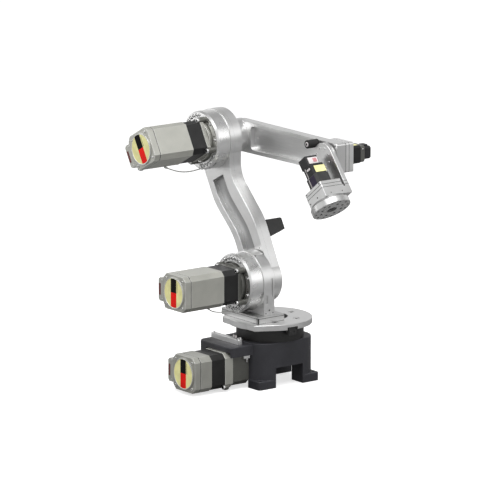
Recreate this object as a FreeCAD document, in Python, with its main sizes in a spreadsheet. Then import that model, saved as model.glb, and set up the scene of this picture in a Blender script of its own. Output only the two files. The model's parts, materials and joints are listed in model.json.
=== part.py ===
"""Bench-size five-axis industrial robot arm, built from flat machined plates and square-frame motors.

The frame has +Z up and its origin on the turntable axis, at the level of the four feet. The forearm
points along +X, and the three large motors stand out to -Y. Lengths are in millimetres and angles
in degrees. Each sub-part is modelled about the joint that carries it, and its Placement puts it there.
"""

import FreeCAD, Part

import math
import os
import re

import Sketcher

# Driving dimensions: alias -> value
SIZES = {
    # clearances
    "running_gap": 0.3,
    "link_gap": 3,
    "moving_gap": 5,
    "cut_past": 1,
    # broken edges
    "plate_edge": 0.8,
    "cast_edge": 1.5,
    "case_edge": 0.6,
    # base casting
    "base_length": 150,
    "base_width": 180,
    "base_round": 50,
    "foot_length": 43,
    "foot_width": 50,
    "foot_thickness": 20,
    "foot_round": 8,
    "foot_bolt_inset": 11,
    "foot_bolt_radius": 4.5,
    "arch_height": 48,
    "shelf_reach": 62,
    "shelf_back": 82,
    "shelf_front": 44,
    "shelf_thickness": 24,
    "shelf_roof": 12,
    "shelf_step": 3.2,
    "shelf_round": 18,
    "bay_gap": 1.5,
    # base drive
    "base_motor_x": -5.5,
    "floor_gap": 7.5,
    "base_gearhead_length": 48,
    "gearhead_step": 2.5,
    "base_flange_length": 23,
    "base_stator_length": 39,
    "base_housing_length": 50,
    # homing rail on the shelf
    "rail_length": 108,
    "rail_width": 12,
    "rail_height": 12,
    "rail_back": 81,
    "rail_inset": 12,
    "rail_round": 3,
    # slewing ring and turntable
    "ring_radius": 80,
    "ring_bore": 42,
    "ring_height": 32,
    "plate_overhang": 20,
    "plate_thickness": 14,
    "plate_flat": 94,
    "plate_corner_x": 62,
    "plate_back_x": 75,
    "plate_round": 22,
    "plate_bolt_inset": 14,
    "plate_bolt_radius": 4.5,
    "plate_bolts": 6,
    "plate_bolt_start": 33,
    "plate_counterbore_radius": 7.5,
    "plate_counterbore_depth": 8,
    "notch_depth": 7,
    "notch_side_gap": 3,
    "notch_back_gap": 2,
    "stop_y": -9,
    "stop_width": 22,
    "stop_gap": 6,
    "stop_inset": 2,
    "stop_drop": 20,
    # riser and shoulder
    "riser_thickness": 16,
    "riser_length": 142,
    "riser_width": 77,
    "riser_front": 55,
    "riser_slot": 2.5,
    "riser_slot_inset": 7,
    "shoulder_x": -22,
    "bracket_thickness": 31,
    "bracket_slot_width": 4,
    "bracket_slot_depth": 3,
    "bracket_slot_length": 44,
    "bracket_slot_inset": 9,
    "bracket_slot_drop": 28,
    "bracket_cut_length": 20,
    "bracket_cut_inset": 24,
    "bracket_cut_drop": 24,
    "bracket_hole_radius": 2.2,
    "bracket_hole_depth": 10,
    "bracket_hole_level": 12,
    # reducers on the shoulder and the elbow
    "reducer_radius": 70,
    "reducer_length": 37,
    "reducer_chamfer": 4,
    "reducer_margin": 2,
    "recess_margin": 4,
    "recess_depth": 8,
    # 85 mm frame motors
    "motor_frame": 85,
    "motor_chamfer": 11,
    "flange_length": 17,
    "flange_radius": 48,
    "collar_thickness": 9,
    "stator_length": 41,
    "stator_step": 1.2,
    "housing_length": 114,
    "cover_length": 17,
    "groove_width": 1.2,
    "groove_depth": 1,
    "cap_inset": 4.5,
    "cap_height": 3,
    "cap_rim": 1.8,
    "cap_recess": 1,
    "connector_reach": 19,
    "connector_inset": 3.5,
    "connector_length": 20,
    "connector_bevel": 4.8,
    "lead_diameter": 3,
    # lower arm
    "arm_front": -22,
    "arm_thickness": 34,
    "arm_length": 355,
    "arm_lean": 28.9,
    "arm_foot_radius": 55,
    "web_seat": 1,
    "foot_front_angle": -5,
    "foot_back_angle": 141,
    "head_front_angle": -47,
    "head_back_angle": 197,
    "arm_curve": 150,
    "belly_reach": 58,
    "belly_share": 0.366,
    "throat_reach": 21,
    "throat_share": 0.72,
    "throat_curve": 70,
    "hollow_reach": 36,
    "hollow_share": 0.34,
    "back_reach": 68,
    "back_share": 0.61,
    "pocket_depth": 12,
    "pocket_rim": 20,
    "pocket_width": 44,
    "pocket_slope": 11,
    "pocket_round": 3,
    "pocket_low_share": 0.22,
    "pocket_high_share": 0.748,
    "hub_radius": 40,
    # arm stop
    "arm_stop_reach": 46,
    "arm_stop_height": 29,
    "arm_stop_gusset": 12,
    "arm_stop_depth": 24,
    "arm_stop_share": 0.352,
    "arm_stop_bevel": 3,
    # forearm
    "forearm_length": 344,
    "forearm_offset": 42,
    "forearm_depth": 26,
    "forearm_elbow_half": 38,
    "forearm_wrist_half": 35.5,
    "forearm_rim": 10,
    "forearm_pocket_depth": 12,
    "forearm_pocket_start": 50,
    "forearm_pocket_end": 66,
    "forearm_pocket_round": 10,
    "wrist_block_half": 33.5,
    "wrist_block_round": 5,
    # wrist bumper
    "bumper_radius": 10,
    "bumper_length": 30,
    "bumper_rise": 1.5,
    "bumper_bore": 3.2,
    "bumper_bore_depth": 4,
    # pitch drive
    "pitch_plate_length": 9.5,
    "pitch_cover_length": 13.5,
    "small_frame": 42,
    "small_chamfer": 4,
    "pitch_stator_length": 32,
    "pitch_cap_length": 12.5,
    "encoder_frame": 30,
    "encoder_length": 22,
    # wrist
    "wrist_tilt": 38,
    "wrist_plate_thickness": 12,
    "wrist_gap": 4,
    "wrist_hub_radius": 26,
    "foot_level": 111,
    "wrist_foot_thickness": 23,
    "case_front": 28.5,
    "case_half": 35,
    "gear_plate_length": 8,
    "motor_plate_length": 8,
    "case_gap": 6,
    "case_round": 2,
    "roll_body_length": 28,
    "roll_rear_length": 26,
    "roll_rear_frame": 38,
    "roll_cover_width": 31,
    "roll_cover_depth": 37,
    "roll_cover_length": 25,
    "roll_cover_shift": 7,
    "roll_neck_radius": 40,
    "roll_neck_length": 7,
    "roll_hollow_radius": 8,
    "tool_radius": 47,
    "tool_thickness": 15,
    "tool_bore_radius": 12.5,
    "tool_bolts": 8,
    "tool_bolt_circle": 27,
    "tool_bolt_radius": 2.5,
    "tool_bolt_depth": 10,
    "rim_bolts": 12,
    "rim_bolt_circle": 39,
    "rim_bolt_radius": 1.8,
    "rim_bolt_depth": 5,
}

# Places that follow from the driving dimensions
PLACES = {
    "base_front": "base_length / 2",
    "base_side": "base_width / 2",
    "base_motor_z": "floor_gap + motor_half",
    "bay_top": "base_motor_z + motor_half + running_gap",
    "shelf_top": "bay_top + shelf_roof",
    "shelf_bottom": "shelf_top - shelf_thickness",
    "base_height": "shelf_top + shelf_step",
    "plate_radius": "ring_radius + plate_overhang",
    "plate_bottom": "base_height + ring_height + running_gap",
    "plate_top": "plate_bottom + plate_thickness",
    "bolt_circle": "ring_radius - plate_bolt_inset",
    "stop_back": "ring_radius + stop_gap",
    "stop_front": "plate_radius - stop_inset",
    "stop_top": "plate_bottom + notch_depth",
    "riser_top": "plate_top + riser_thickness",
    "link_end_radius": "reducer_radius + reducer_margin",
    "shoulder_z": "riser_top + link_end_radius",
    "bracket_back": "arm_front - link_gap",
    "bracket_front": "bracket_back - bracket_thickness",
    "shoulder_face": "bracket_front - reducer_length",
    "elbow_face": "arm_front - reducer_length",
    "arm_back": "arm_front + arm_thickness",
    "elbow_x": "shoulder_x - arm_length * sin(arm_lean)",
    "elbow_z": "shoulder_z + arm_length * cos(arm_lean)",
    "forearm_front": "arm_back + forearm_offset",
    "forearm_back": "forearm_front + forearm_depth",
    "wrist_x": "elbow_x + forearm_length",
    "wrist_back": "forearm_front - wrist_gap",
    "wrist_front": "wrist_back - wrist_plate_thickness",
    "motor_half": "motor_frame / 2",
    "gearhead_half": "motor_half - gearhead_step",
    "recess_radius": "flange_radius + recess_margin",
    "cap_radius": "motor_half - cap_inset",
    "connector_half": "motor_half - motor_chamfer - connector_inset",
    "bumper_z": "forearm_wrist_half - bumper_radius + bumper_rise",
    "bumper_offset": "sqrt(pow(case_half + moving_gap + bumper_radius; 2) - pow(bumper_z; 2))",
    "small_half": "small_frame / 2",
    "base_face": "-base_side",
    "base_flange_face": "base_face - base_gearhead_length",
    "base_stator_face": "base_flange_face - base_flange_length",
    "foot_top_level": "foot_level - wrist_foot_thickness",
    "gear_top_level": "foot_top_level - gear_plate_length",
    "motor_plate_level": "gear_top_level - motor_plate_length",
    "roll_rear_level": "motor_plate_level - roll_body_length",
    "roll_cover_level": "roll_rear_level - roll_rear_length",
    "roll_top_level": "roll_cover_level - roll_cover_length",
    "tool_back_level": "foot_level + roll_neck_length",
    "tool_reach": "tool_back_level + tool_thickness",
}

SIZE_NAME = re.compile(r"\b(" + "|".join(SIZES) + r")\b")
PLACE_NAME = re.compile(r"\b(" + "|".join(PLACES) + r")\b")
UNTURNED = FreeCAD.Rotation()
ALONG_Y = FreeCAD.Rotation(FreeCAD.Vector(1, 0, 0), -90)
ALONG_X = FreeCAD.Rotation(FreeCAD.Vector(0, 1, 0), 90)
FACING_Y = FreeCAD.Rotation(FreeCAD.Vector(1, 0, 0), 90)
FACING_X = FreeCAD.Rotation(FreeCAD.Vector(1, 1, 1), 120)

# Routes of the two motor leads, about the joint's axis at the reducer's front face
SHOULDER_LEAD = [(26, -92, -44), (20, -80, -53), (14, -56, -60), (10, -28, -64), (8, 0, -65)]
ELBOW_LEAD = [(-15, -90, -57), (-8, -72, -66), (0, -48, -71), (6, -24, -70), (8, 0, -66)]

# How near two places lie that are the same
TOUCH = 0.01

doc = FreeCAD.newDocument("RobotArm")
sheet = doc.addObject("Spreadsheet::Sheet", "Sizes")
for line, (alias, size) in enumerate(SIZES.items(), 1):
    sheet.set(f"A{line}", alias.replace("_", " "))
    sheet.set(f"B{line}", str(size))
    sheet.setAlias(f"B{line}", alias)
doc.recompute()
nodes = []


# ---------------------------------------------------------------- formulas

def in_sheet(formula):
    """The formula with every place worked out and every size written as the sheet's cell."""
    formula = str(formula)
    while PLACE_NAME.search(formula):
        formula = PLACE_NAME.sub(lambda found: f"({PLACES[found.group()]})", formula)
    return SIZE_NAME.sub(r"Sizes.\g<0>", formula)


def number(formula):
    """The value that a formula has now."""
    return float(sheet.evalExpression(in_sheet(formula)))


def bind(item, **formulas):
    """Bind properties of item to formulas; an underscore in a keyword stands for a dot."""
    for name, formula in formulas.items():
        item.setExpression(name.replace("_", "."), in_sheet(formula))


def place(item, x=0, y=0, z=0, rotation=UNTURNED):
    """Turn item and bind the place of its origin."""
    item.Placement = FreeCAD.Placement(FreeCAD.Vector(), rotation)
    bind(item, Placement_Base_x=x, Placement_Base_y=y, Placement_Base_z=z)
    return item


# ---------------------------------------------------------------- solids

def block(name, x, y, z):
    """A block between two formulas along each axis."""
    item = doc.addObject("Part::Box", name)
    bind(item, Length=f"({x[1]}) - ({x[0]})", Width=f"({y[1]}) - ({y[0]})", Height=f"({z[1]}) - ({z[0]})")
    return place(item, x[0], y[0], z[0])


def upright(name, radius, z, x=0, y=0):
    """A cylinder along Z between two heights."""
    item = doc.addObject("Part::Cylinder", name)
    bind(item, Radius=radius, Height=f"({z[1]}) - ({z[0]})")
    return place(item, x, y, z[0])


def crosswise(name, radius, y, x=0, z=0):
    """A cylinder along Y between two stations."""
    item = doc.addObject("Part::Cylinder", name)
    bind(item, Radius=radius, Height=f"({y[1]}) - ({y[0]})")
    return place(item, x, y[0], z, ALONG_Y)


def lengthwise(name, radius, x, y=0, z=0):
    """A cylinder along X between two stations."""
    item = doc.addObject("Part::Cylinder", name)
    bind(item, Radius=radius, Height=f"({x[1]}) - ({x[0]})")
    return place(item, x[0], y, z, ALONG_X)


def corner_arc(before, corner, after, radius):
    """Start, middle and end of the arc that rounds a corner between two straight sides."""
    toward_before = (before - corner).normalize()
    toward_after = (after - corner).normalize()
    half_angle = toward_before.getAngle(toward_after) / 2
    middle_way = (toward_before + toward_after).normalize()
    centre = corner + middle_way * (radius / math.sin(half_angle))
    reach = radius / math.tan(half_angle)
    return corner + toward_before * reach, centre - middle_way * radius, corner + toward_after * reach


def outline(name, corners):
    """A closed sketch with straight sides through corners given as (across, up) formulas."""
    sketch = doc.addObject("Sketcher::SketchObject", name)
    spots = [FreeCAD.Vector(number(corner[0]), number(corner[1]), 0) for corner in corners]
    sides = [sketch.addGeometry(Part.LineSegment(spot, spots[(index + 1) % len(spots)]), False)
             for index, spot in enumerate(spots)]
    constraints, formulas = [], []
    for side, corner, spot in zip(sides, corners, spots):
        constraints.append(Sketcher.Constraint("Coincident", sides[side - 1], 2, side, 1))
        for kind, formula, size in (("DistanceX", corner[0], spot.x), ("DistanceY", corner[1], spot.y)):
            formulas.append((len(constraints), formula))
            constraints.append(Sketcher.Constraint(kind, -1, 1, side, 1, size))
    sketch.addConstraint(constraints)
    for index, formula in formulas:
        sketch.setExpression(f"Constraints[{index}]", in_sheet(formula))
    return sketch


def prism_x(name, corners, x):
    """A (Y, Z) outline drawn out along X between two stations."""
    sketch = place(outline(name + "Outline", corners), x[0], 0, 0, FACING_X)
    return drawn_out(name, sketch, corners, x)


def prism_y(name, corners, y):
    """An (X, Z) outline drawn out along Y between two stations."""
    sketch = place(outline(name + "Outline", corners), 0, y[1], 0, FACING_Y)
    return drawn_out(name, sketch, corners, y)


def prism_z(name, corners, z):
    """An (X, Y) outline drawn out along Z between two heights."""
    sketch = place(outline(name + "Outline", corners), 0, 0, z[0])
    return drawn_out(name, sketch, corners, z)


def drawn_out(name, sketch, corners, span):
    """The sketch drawn out by a span, with each corner that has a third formula rounded to that radius."""
    item = doc.addObject("Part::Extrusion", name)
    item.Base = sketch
    item.DirMode = "Normal"
    item.Solid = True
    bind(item, LengthFwd=f"({span[1]}) - ({span[0]})")
    if all(len(corner) == 2 for corner in corners):
        return item
    doc.recompute()
    normal = sketch.Placement.Rotation.multVec(FreeCAD.Vector(0, 0, 1))
    rounded = doc.addObject("Part::Fillet", name + "Rounded")
    rounded.Base = item
    chosen = []
    for across, up, radius in (corner for corner in corners if len(corner) > 2):
        spot = sketch.Placement.multVec(FreeCAD.Vector(number(across), number(up), 0))
        chosen += [(index, number(radius), number(radius)) for index, edge in enumerate(item.Shape.Edges, 1)
                   if all(vertex.Point.distanceToLine(spot, normal) < TOUCH for vertex in edge.Vertexes)]
    rounded.Edges = chosen
    return rounded


def fuse(name, *items):
    """All items as one solid."""
    item = doc.addObject("Part::MultiFuse", name)
    item.Shapes = list(items)
    item.Refine = True
    return item


def cut(name, body, *tools):
    """body without the tools."""
    item = doc.addObject("Part::Cut", name)
    item.Base = body
    item.Tool = tools[0] if len(tools) == 1 else fuse(name + "Tools", *tools)
    item.Refine = True
    return item


def eased(body, size, chosen):
    """body with a bevel of the given size along each chosen edge."""
    doc.recompute()
    item = doc.addObject("Part::Chamfer", body.Name + "Eased")
    item.Base = body
    width = number(size)
    item.Edges = [(index, width, width) for index, edge in enumerate(body.Shape.Edges, 1) if chosen(edge)]
    return item


def lying_at(axis, *levels):
    """Chooses the edges that lie flat at one of the levels along an axis."""
    spots = [number(level) for level in levels]

    def chosen(edge):
        low, high = getattr(edge.BoundBox, axis + "Min"), getattr(edge.BoundBox, axis + "Max")
        return any(abs(low - spot) < TOUCH and abs(high - spot) < TOUCH for spot in spots)
    return chosen


def octagon(half, chamfer):
    """Corners of a square motor section with cut corners."""
    flat = f"{half} - {chamfer}"
    back_half, back_flat = f"-({half})", f"-({flat})"
    return [(half, back_flat), (half, flat), (flat, half), (back_flat, half),
            (back_half, flat), (back_half, back_flat), (back_flat, back_half), (flat, back_half)]


def rectangle(x, z, radius=None):
    """Corners of a rectangle between two formulas each way, with an optional corner radius."""
    corners = [(x[0], z[0]), (x[1], z[0]), (x[1], z[1]), (x[0], z[1])]
    return [corner + (radius,) for corner in corners] if radius else corners


def node(label, item):
    """Enter item as the sub-part that label names."""
    item.Label = label
    nodes.append(item)
    return item


# ---------------------------------------------------------------- base

def base_casting():
    front, side = "base_front", "base_side"
    drum = prism_z("BaseBody", rectangle((f"-{front}", front), (f"-{side}", side), "base_round"),
                   ("0", "base_height"))
    drum = eased(drum, "cast_edge", lying_at("Z", "base_height"))
    feet, holes = [], []
    for end, sign_x in (("Back", -1), ("Front", 1)):
        for hand, sign_y in (("Right", -1), ("Left", 1)):
            tag = end + hand
            outer_x, outer_y = f"{sign_x} * {front}", f"{sign_y} * {side}"
            inner_x = f"{sign_x} * ({front} - foot_length)"
            inner_y = f"{sign_y} * ({side} - foot_width)"
            foot = prism_z("Foot" + tag, [(inner_x, inner_y), (outer_x, inner_y),
                                          (outer_x, outer_y, "foot_round"), (inner_x, outer_y)],
                           ("0", "foot_thickness"))
            feet.append(eased(foot, "cast_edge", lying_at("Z", "foot_thickness")))
            holes.append(upright("FootHole" + tag, "foot_bolt_radius",
                                 ("-cut_past", "foot_thickness + cut_past"),
                                 f"{sign_x} * ({front} - foot_bolt_inset)",
                                 f"{sign_y} * ({side} - foot_bolt_inset)"))
    shelf = prism_z("Shelf", [("-shelf_back", "-base_side + base_round"),
                              ("-shelf_back", "-base_side - shelf_reach", "shelf_round"),
                              ("shelf_front", "-base_side - shelf_reach", "shelf_round"),
                              ("shelf_front", "-base_side + base_round")],
                    ("shelf_bottom", "shelf_top"))
    shelf = eased(shelf, "cast_edge", lying_at("Z", "shelf_top"))
    along_x = block("ArchAlongX", (f"-{front} - cut_past", f"{front} + cut_past"),
                    (f"-{side} + foot_width", f"{side} - foot_width"), ("-cut_past", "arch_height"))
    along_y = block("ArchAlongY", (f"-{front} + foot_length", f"{front} - foot_length"),
                    (f"-{side} - cut_past", f"{side} + cut_past"), ("-cut_past", "arch_height"))
    bay_half = "motor_half + bay_gap"
    motor_bay = block("MotorBay", (f"base_motor_x - ({bay_half})", f"base_motor_x + {bay_half}"),
                      ("-base_side - shelf_reach - cut_past", "-base_side"), ("-cut_past", "bay_top"))
    solid = fuse("BaseSolid", drum, shelf, *feet)
    node("base_casting", cut("BaseCasting", solid, along_x, along_y, motor_bay, *holes))


def slewing_ring():
    ring_top = "base_height + ring_height"
    body = upright("RingBody", "ring_radius", ("base_height", ring_top))
    body = eased(body, "plate_edge", lying_at("Z", ring_top))
    bore = upright("RingBore", "ring_bore", ("base_height - cut_past", f"{ring_top} + cut_past"))
    node("slewing_ring", cut("SlewingRing", body, bore))


def homing_rail():
    """The bar along the shelf's inner half that carries the turntable's homing switch."""
    across = ("-base_side - rail_inset - rail_width", "-base_side - rail_inset")
    rail = prism_z("HomingRail", rectangle(("-rail_back", "rail_length - rail_back"), across, "rail_round"),
                   ("shelf_top", "shelf_top + rail_height"))
    node("homing_rail", eased(rail, "plate_edge", lying_at("Z", "shelf_top + rail_height")))


def base_drive():
    """Gearhead and motor that lie along -Y under the shelf and turn the slewing ring through bevel gears."""
    x, z = "base_motor_x", "base_motor_z"
    gearhead = prism_y("BaseGearhead", octagon("gearhead_half", "motor_chamfer"),
                       ("-base_gearhead_length", "0"))
    node("base_gearhead", place_eased(gearhead, ("-base_gearhead_length",), x, "base_face", z))
    flange = prism_y("BaseFlange", octagon("motor_half", "motor_chamfer"), ("-base_flange_length", "0"))
    node("base_motor_flange", place_eased(flange, ("-base_flange_length", "0"), x, "base_flange_face", z))
    motor("base", "Base", (x, "base_stator_face", z), "base_stator_length", "base_housing_length")


def place_eased(item, stations, x, y, z):
    """Place item with the outline of its end faces at the given stations bevelled."""
    return place(eased(item, "case_edge", lying_at("Y", *stations)), x, y, z)


# ---------------------------------------------------------------- square-frame motors

def motor(label, name, face, stator_length, housing_length, lean=None):
    """Stator, rear housing and plug box of an 85 mm motor that runs along -Y from its face."""
    front, rear = f"-{stator_length}", f"-{stator_length} - {housing_length}"
    stator = prism_y(name + "Stator", octagon("motor_half - stator_step", "motor_chamfer"), (front, "0"))
    groove, section = f"{rear} + cover_length", octagon("motor_half", "motor_chamfer")
    barrel = prism_y(name + "Barrel", section, (f"{groove} + groove_width", front))
    barrel = eased(barrel, "case_edge", lying_at("Y", front, f"{groove} + groove_width"))
    neck = prism_y(name + "Neck", octagon("motor_half - groove_depth", "motor_chamfer"),
                   (groove, f"{groove} + groove_width"))
    cover = eased(prism_y(name + "Cover", section, (rear, groove)), "plate_edge", lying_at("Y", rear, groove))
    cap = crosswise(name + "Cap", "cap_radius", (f"{rear} - cap_height", rear))
    cap = eased(cap, "case_edge", lying_at("Y", f"{rear} - cap_height"))
    recess = crosswise(name + "CapRecess", "cap_radius - cap_rim",
                       (f"{rear} - cap_height - cut_past", f"{rear} - cap_height + cap_recess"))
    housing = cut(name + "Housing", fuse(name + "Case", barrel, neck, cover, cap), recess)
    plug = block(name + "Plug", ("-motor_half - connector_reach", "-motor_half"),
                 (rear, f"{rear} + connector_length"), ("-connector_half", "connector_half"))
    plug = eased(plug, "connector_bevel", along_y_at_low_x(plug))
    for part_label, item in (("stator", stator), ("housing", housing), ("plug", plug)):
        node(f"{label}_motor_{part_label}", lean_back(item, lean, *face))


def along_y_at_low_x(body):
    """Chooses the long edges on the side of body that is farthest towards -X."""
    doc.recompute()
    low = body.Shape.BoundBox.XMin

    def chosen(edge):
        return edge.BoundBox.XMax < low + TOUCH and edge.BoundBox.ZLength < TOUCH
    return chosen


def lean_back(item, angle, x, y, z):
    """Place item, leaning back towards -X by angle."""
    if angle is None:
        return place(item, x, y, z)
    place(item, x, y, z, FreeCAD.Rotation(FreeCAD.Vector(0, -1, 0), number(angle)))
    bind(item, Placement_Rotation_Angle=angle)
    return item


def joint_drive(label, name, x, face, z, lean=None):
    """Reducer and motor of the shoulder or the elbow; the reducer sits on the link at its back."""
    drum = eased(crosswise(name + "ReducerDrum", "reducer_radius", ("0", "reducer_length")),
                 "reducer_chamfer", lying_at("Y", "0"))
    drum = eased(drum, "plate_edge", lying_at("Y", "reducer_length"))
    recess = crosswise(name + "ReducerRecess", "recess_radius", ("-cut_past", "recess_depth"))
    node(f"{label}_reducer", lean_back(cut(name + "Reducer", drum, recess), lean, x, face, z))
    collar_back = "collar_thickness - flange_length"
    spigot = crosswise(name + "Spigot", "flange_radius", (collar_back, "recess_depth"))
    spigot = eased(spigot, "plate_edge", lying_at("Y", collar_back))
    collar = prism_y(name + "Collar", octagon("motor_half", "motor_chamfer"), ("-flange_length", collar_back))
    collar = eased(collar, "case_edge", lying_at("Y", "-flange_length"))
    node(f"{label}_motor_flange", lean_back(fuse(name + "Flange", spigot, collar), lean, x, face, z))
    motor(label, name, (x, f"{face} - flange_length", z), "stator_length", "housing_length", lean)


def lead(label, points, x, y, z):
    """A thin lead through points given about (x, y, z): straight runs joined by tangent arcs."""
    origin = FreeCAD.Vector(number(x), number(y), number(z))
    spots = [FreeCAD.Vector(*point) for point in points]
    edges, here = [], spots[0]
    for before, corner, after in zip(spots, spots[1:], spots[2:]):
        run = min((corner - before).Length, (after - corner).Length)
        turn = (corner - before).getAngle(after - corner)
        radius = 0.45 * run / math.tan(turn / 2)
        start, middle, end = corner_arc(before, corner, after, radius)
        edges += [Part.LineSegment(here, start).toShape(), Part.Arc(start, middle, end).toShape()]
        here = end
        print(f"{label}: arc radius {radius:.1f}")
    edges.append(Part.LineSegment(here, spots[-1]).toShape())
    path = Part.Wire(edges)
    section = Part.Wire(Part.makeCircle(number("lead_diameter") / 2, spots[0], spots[1] - spots[0]))
    solid = path.makePipeShell([section], True, True)
    print(f"{label}: length {path.Length:.1f}, volume {solid.Volume:.1f},"
          f" section times length {path.Length * math.pi * number('lead_diameter') ** 2 / 4:.1f}")
    item = doc.addObject("Part::Feature", "".join(word.title() for word in label.split("_")))
    item.Shape = solid
    item.Placement = FreeCAD.Placement(origin, FreeCAD.Rotation())
    node(label, item)


# ---------------------------------------------------------------- turntable and shoulder

def turntable_plate():
    """A disc with a straight-sided apron towards -Y, whose front side leaves the disc as a tangent."""
    far = "hypot(plate_flat; plate_corner_x)"
    tangent = f"(atan2(plate_flat; plate_corner_x) - acos(min(1; plate_radius / {far})))"
    levels = ("plate_bottom", "plate_top")
    disc = upright("PlateDisc", "plate_radius", levels)
    apron = prism_z("PlateApron", [("-plate_back_x", "0"),
                                   ("-plate_back_x", "-plate_flat", "plate_round"),
                                   ("plate_corner_x", "-plate_flat"),
                                   (f"plate_radius * cos({tangent})", f"-plate_radius * sin({tangent})"),
                                   ("0", "0")], levels)
    plate = eased(fuse("PlateSolid", disc, apron), "plate_edge", lying_at("Z", *levels))
    bore = upright("PlateBore", "ring_bore", ("plate_bottom - cut_past", "plate_top + cut_past"))
    half_width = "(stop_width / 2 + notch_side_gap)"
    notch = block("PlateNotch", ("stop_back - notch_back_gap", "plate_radius + cut_past"),
                  (f"stop_y - {half_width}", f"stop_y + {half_width}"),
                  ("plate_bottom - cut_past", "stop_top"))
    holes = []
    for index in range(round(number("plate_bolts"))):
        angle = f"(plate_bolt_start + {index} * 360 / plate_bolts)"
        x, y = f"bolt_circle * cos({angle})", f"bolt_circle * sin({angle})"
        holes.append(upright(f"PlateHole{index}", "plate_bolt_radius",
                             ("plate_bottom - cut_past", "plate_top + cut_past"), x, y))
        holes.append(upright(f"PlateSink{index}", "plate_counterbore_radius",
                             ("plate_top - plate_counterbore_depth", "plate_top + cut_past"), x, y))
    node("turntable_plate", cut("TurntablePlate", plate, bore, notch, *holes))


def turntable_stop():
    """The stop that hangs from the turntable's notch, outside the slewing ring."""
    stop = block("TurntableStop", ("stop_back", "stop_front"),
                 ("stop_y - stop_width / 2", "stop_y + stop_width / 2"), ("stop_top - stop_drop", "stop_top"))
    node("turntable_stop", eased(stop, "plate_edge", lying_at("Z", "stop_top - stop_drop")))


def riser_plate():
    section = rectangle(("riser_front - riser_length", "riser_front"), ("-riser_width", "0"))
    body = prism_z("RiserBody", section, ("plate_top", "riser_top"))
    body = eased(body, "plate_edge", lying_at("Z", "riser_top"))
    slot_x = "riser_front - riser_slot_inset"
    slot = block("RiserSlot", (slot_x, f"{slot_x} + riser_slot"),
                 ("-riser_width - cut_past", "-riser_width + riser_slot_inset"),
                 ("plate_top - cut_past", "riser_top + cut_past"))
    node("riser_plate", cut("RiserPlate", body, slot))


def shoulder_bracket():
    """A round-headed plate on the riser, with two narrow slots and a hole in its edge towards +X."""
    y, half = ("bracket_front", "bracket_back"), "link_end_radius"
    past_edge = f"{half} + cut_past"
    head = crosswise("BracketHead", half, y)
    post = block("BracketPost", (f"-{half}", half), y, (f"-{half}", "0"))
    body = eased(fuse("BracketSolid", head, post), "plate_edge", lying_at("Y", *y))
    slots = []
    for kind, low in (("slot", "-bracket_slot_drop"), ("cut", "-bracket_cut_drop - bracket_cut_length")):
        side = f"bracket_back - bracket_{kind}_inset"
        slots.append(block("Bracket" + kind.title(), (f"{half} - bracket_slot_depth", past_edge),
                           (side, f"{side} + bracket_slot_width"), (low, f"{low} + bracket_{kind}_length")))
    hole = lengthwise("BracketHole", "bracket_hole_radius", (f"{half} - bracket_hole_depth", past_edge),
                      "bracket_back - bracket_thickness / 2", f"bracket_hole_level - {half}")
    node("shoulder_bracket", place(cut("ShoulderBracket", body, *slots, hole), "shoulder_x", 0, "shoulder_z"))


# ---------------------------------------------------------------- lower arm

def on_round_end(radius, angle, up="0"):
    """A corner of the web, just inside the rim of a round end whose centre is so far up the arm."""
    reach = f"({radius} - web_seat)"
    return f"{reach} * cos({angle})", f"{up} + {reach} * sin({angle})"


def lower_arm():
    """The curved plate from the shoulder to the elbow, with a milled pocket in its -Y face."""
    y = ("arm_front", "arm_back")
    foot = crosswise("ArmFoot", "arm_foot_radius", y)
    head = crosswise("ArmHead", "link_end_radius", y, 0, "arm_length")
    back_u, hollow_u = "back_share * arm_length", "hollow_share * arm_length"
    web = prism_y("ArmWeb", [on_round_end("arm_foot_radius", "foot_front_angle"),
                             ("belly_reach", "belly_share * arm_length", "arm_curve"),
                             ("throat_reach", "throat_share * arm_length", "throat_curve"),
                             on_round_end("link_end_radius", "head_front_angle", "arm_length"),
                             on_round_end("link_end_radius", "head_back_angle", "arm_length"),
                             ("-back_reach", back_u, "arm_curve"),
                             ("-hollow_reach", hollow_u, "arm_curve"),
                             on_round_end("arm_foot_radius", "foot_back_angle")], y)
    left, low = "-(back_reach - pocket_rim)", "-(hollow_reach - pocket_rim)"
    high_u, low_u = "pocket_high_share * arm_length", "pocket_low_share * arm_length"
    pocket = prism_y("ArmPocket", [(low, low_u, "pocket_round"),
                                   (f"{low} + pocket_width", f"{low_u} - pocket_slope", "pocket_round"),
                                   (f"{low} + pocket_width", hollow_u, "arm_curve"),
                                   (f"{left} + pocket_width", back_u, "arm_curve"),
                                   (f"{left} + pocket_width", high_u, "pocket_round"),
                                   (left, high_u, "pocket_round"),
                                   (left, back_u, "arm_curve"),
                                   (low, hollow_u, "arm_curve")],
                     ("arm_front - cut_past", "arm_front + pocket_depth"))
    plate = eased(cut("ArmPlate", fuse("ArmSolid", web, foot, head), pocket), "plate_edge", lying_at("Y", *y))
    hub = crosswise("ArmHub", "hub_radius", ("bracket_back + running_gap", "arm_front"))
    node("lower_arm_link", lean_back(fuse("LowerArm", plate, hub), "arm_lean", "shoulder_x", 0, "shoulder_z"))


def arm_stop():
    """The cantilever on the back of the lower arm that the forearm meets at the end of its travel."""
    top = "arm_stop_share * arm_length"
    bottom = f"{top} - arm_stop_height"
    tip = "arm_back + arm_stop_reach"
    stop = prism_x("ArmStop", [("arm_back", f"{bottom} - arm_stop_gusset"), (tip, bottom),
                               (tip, f"{top} - arm_stop_bevel"), (f"{tip} - arm_stop_bevel", top),
                               ("arm_back", top)], ("belly_reach - arm_stop_depth", "belly_reach"))
    node("arm_stop", lean_back(stop, "arm_lean", "shoulder_x", 0, "shoulder_z"))


# ---------------------------------------------------------------- forearm

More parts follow.
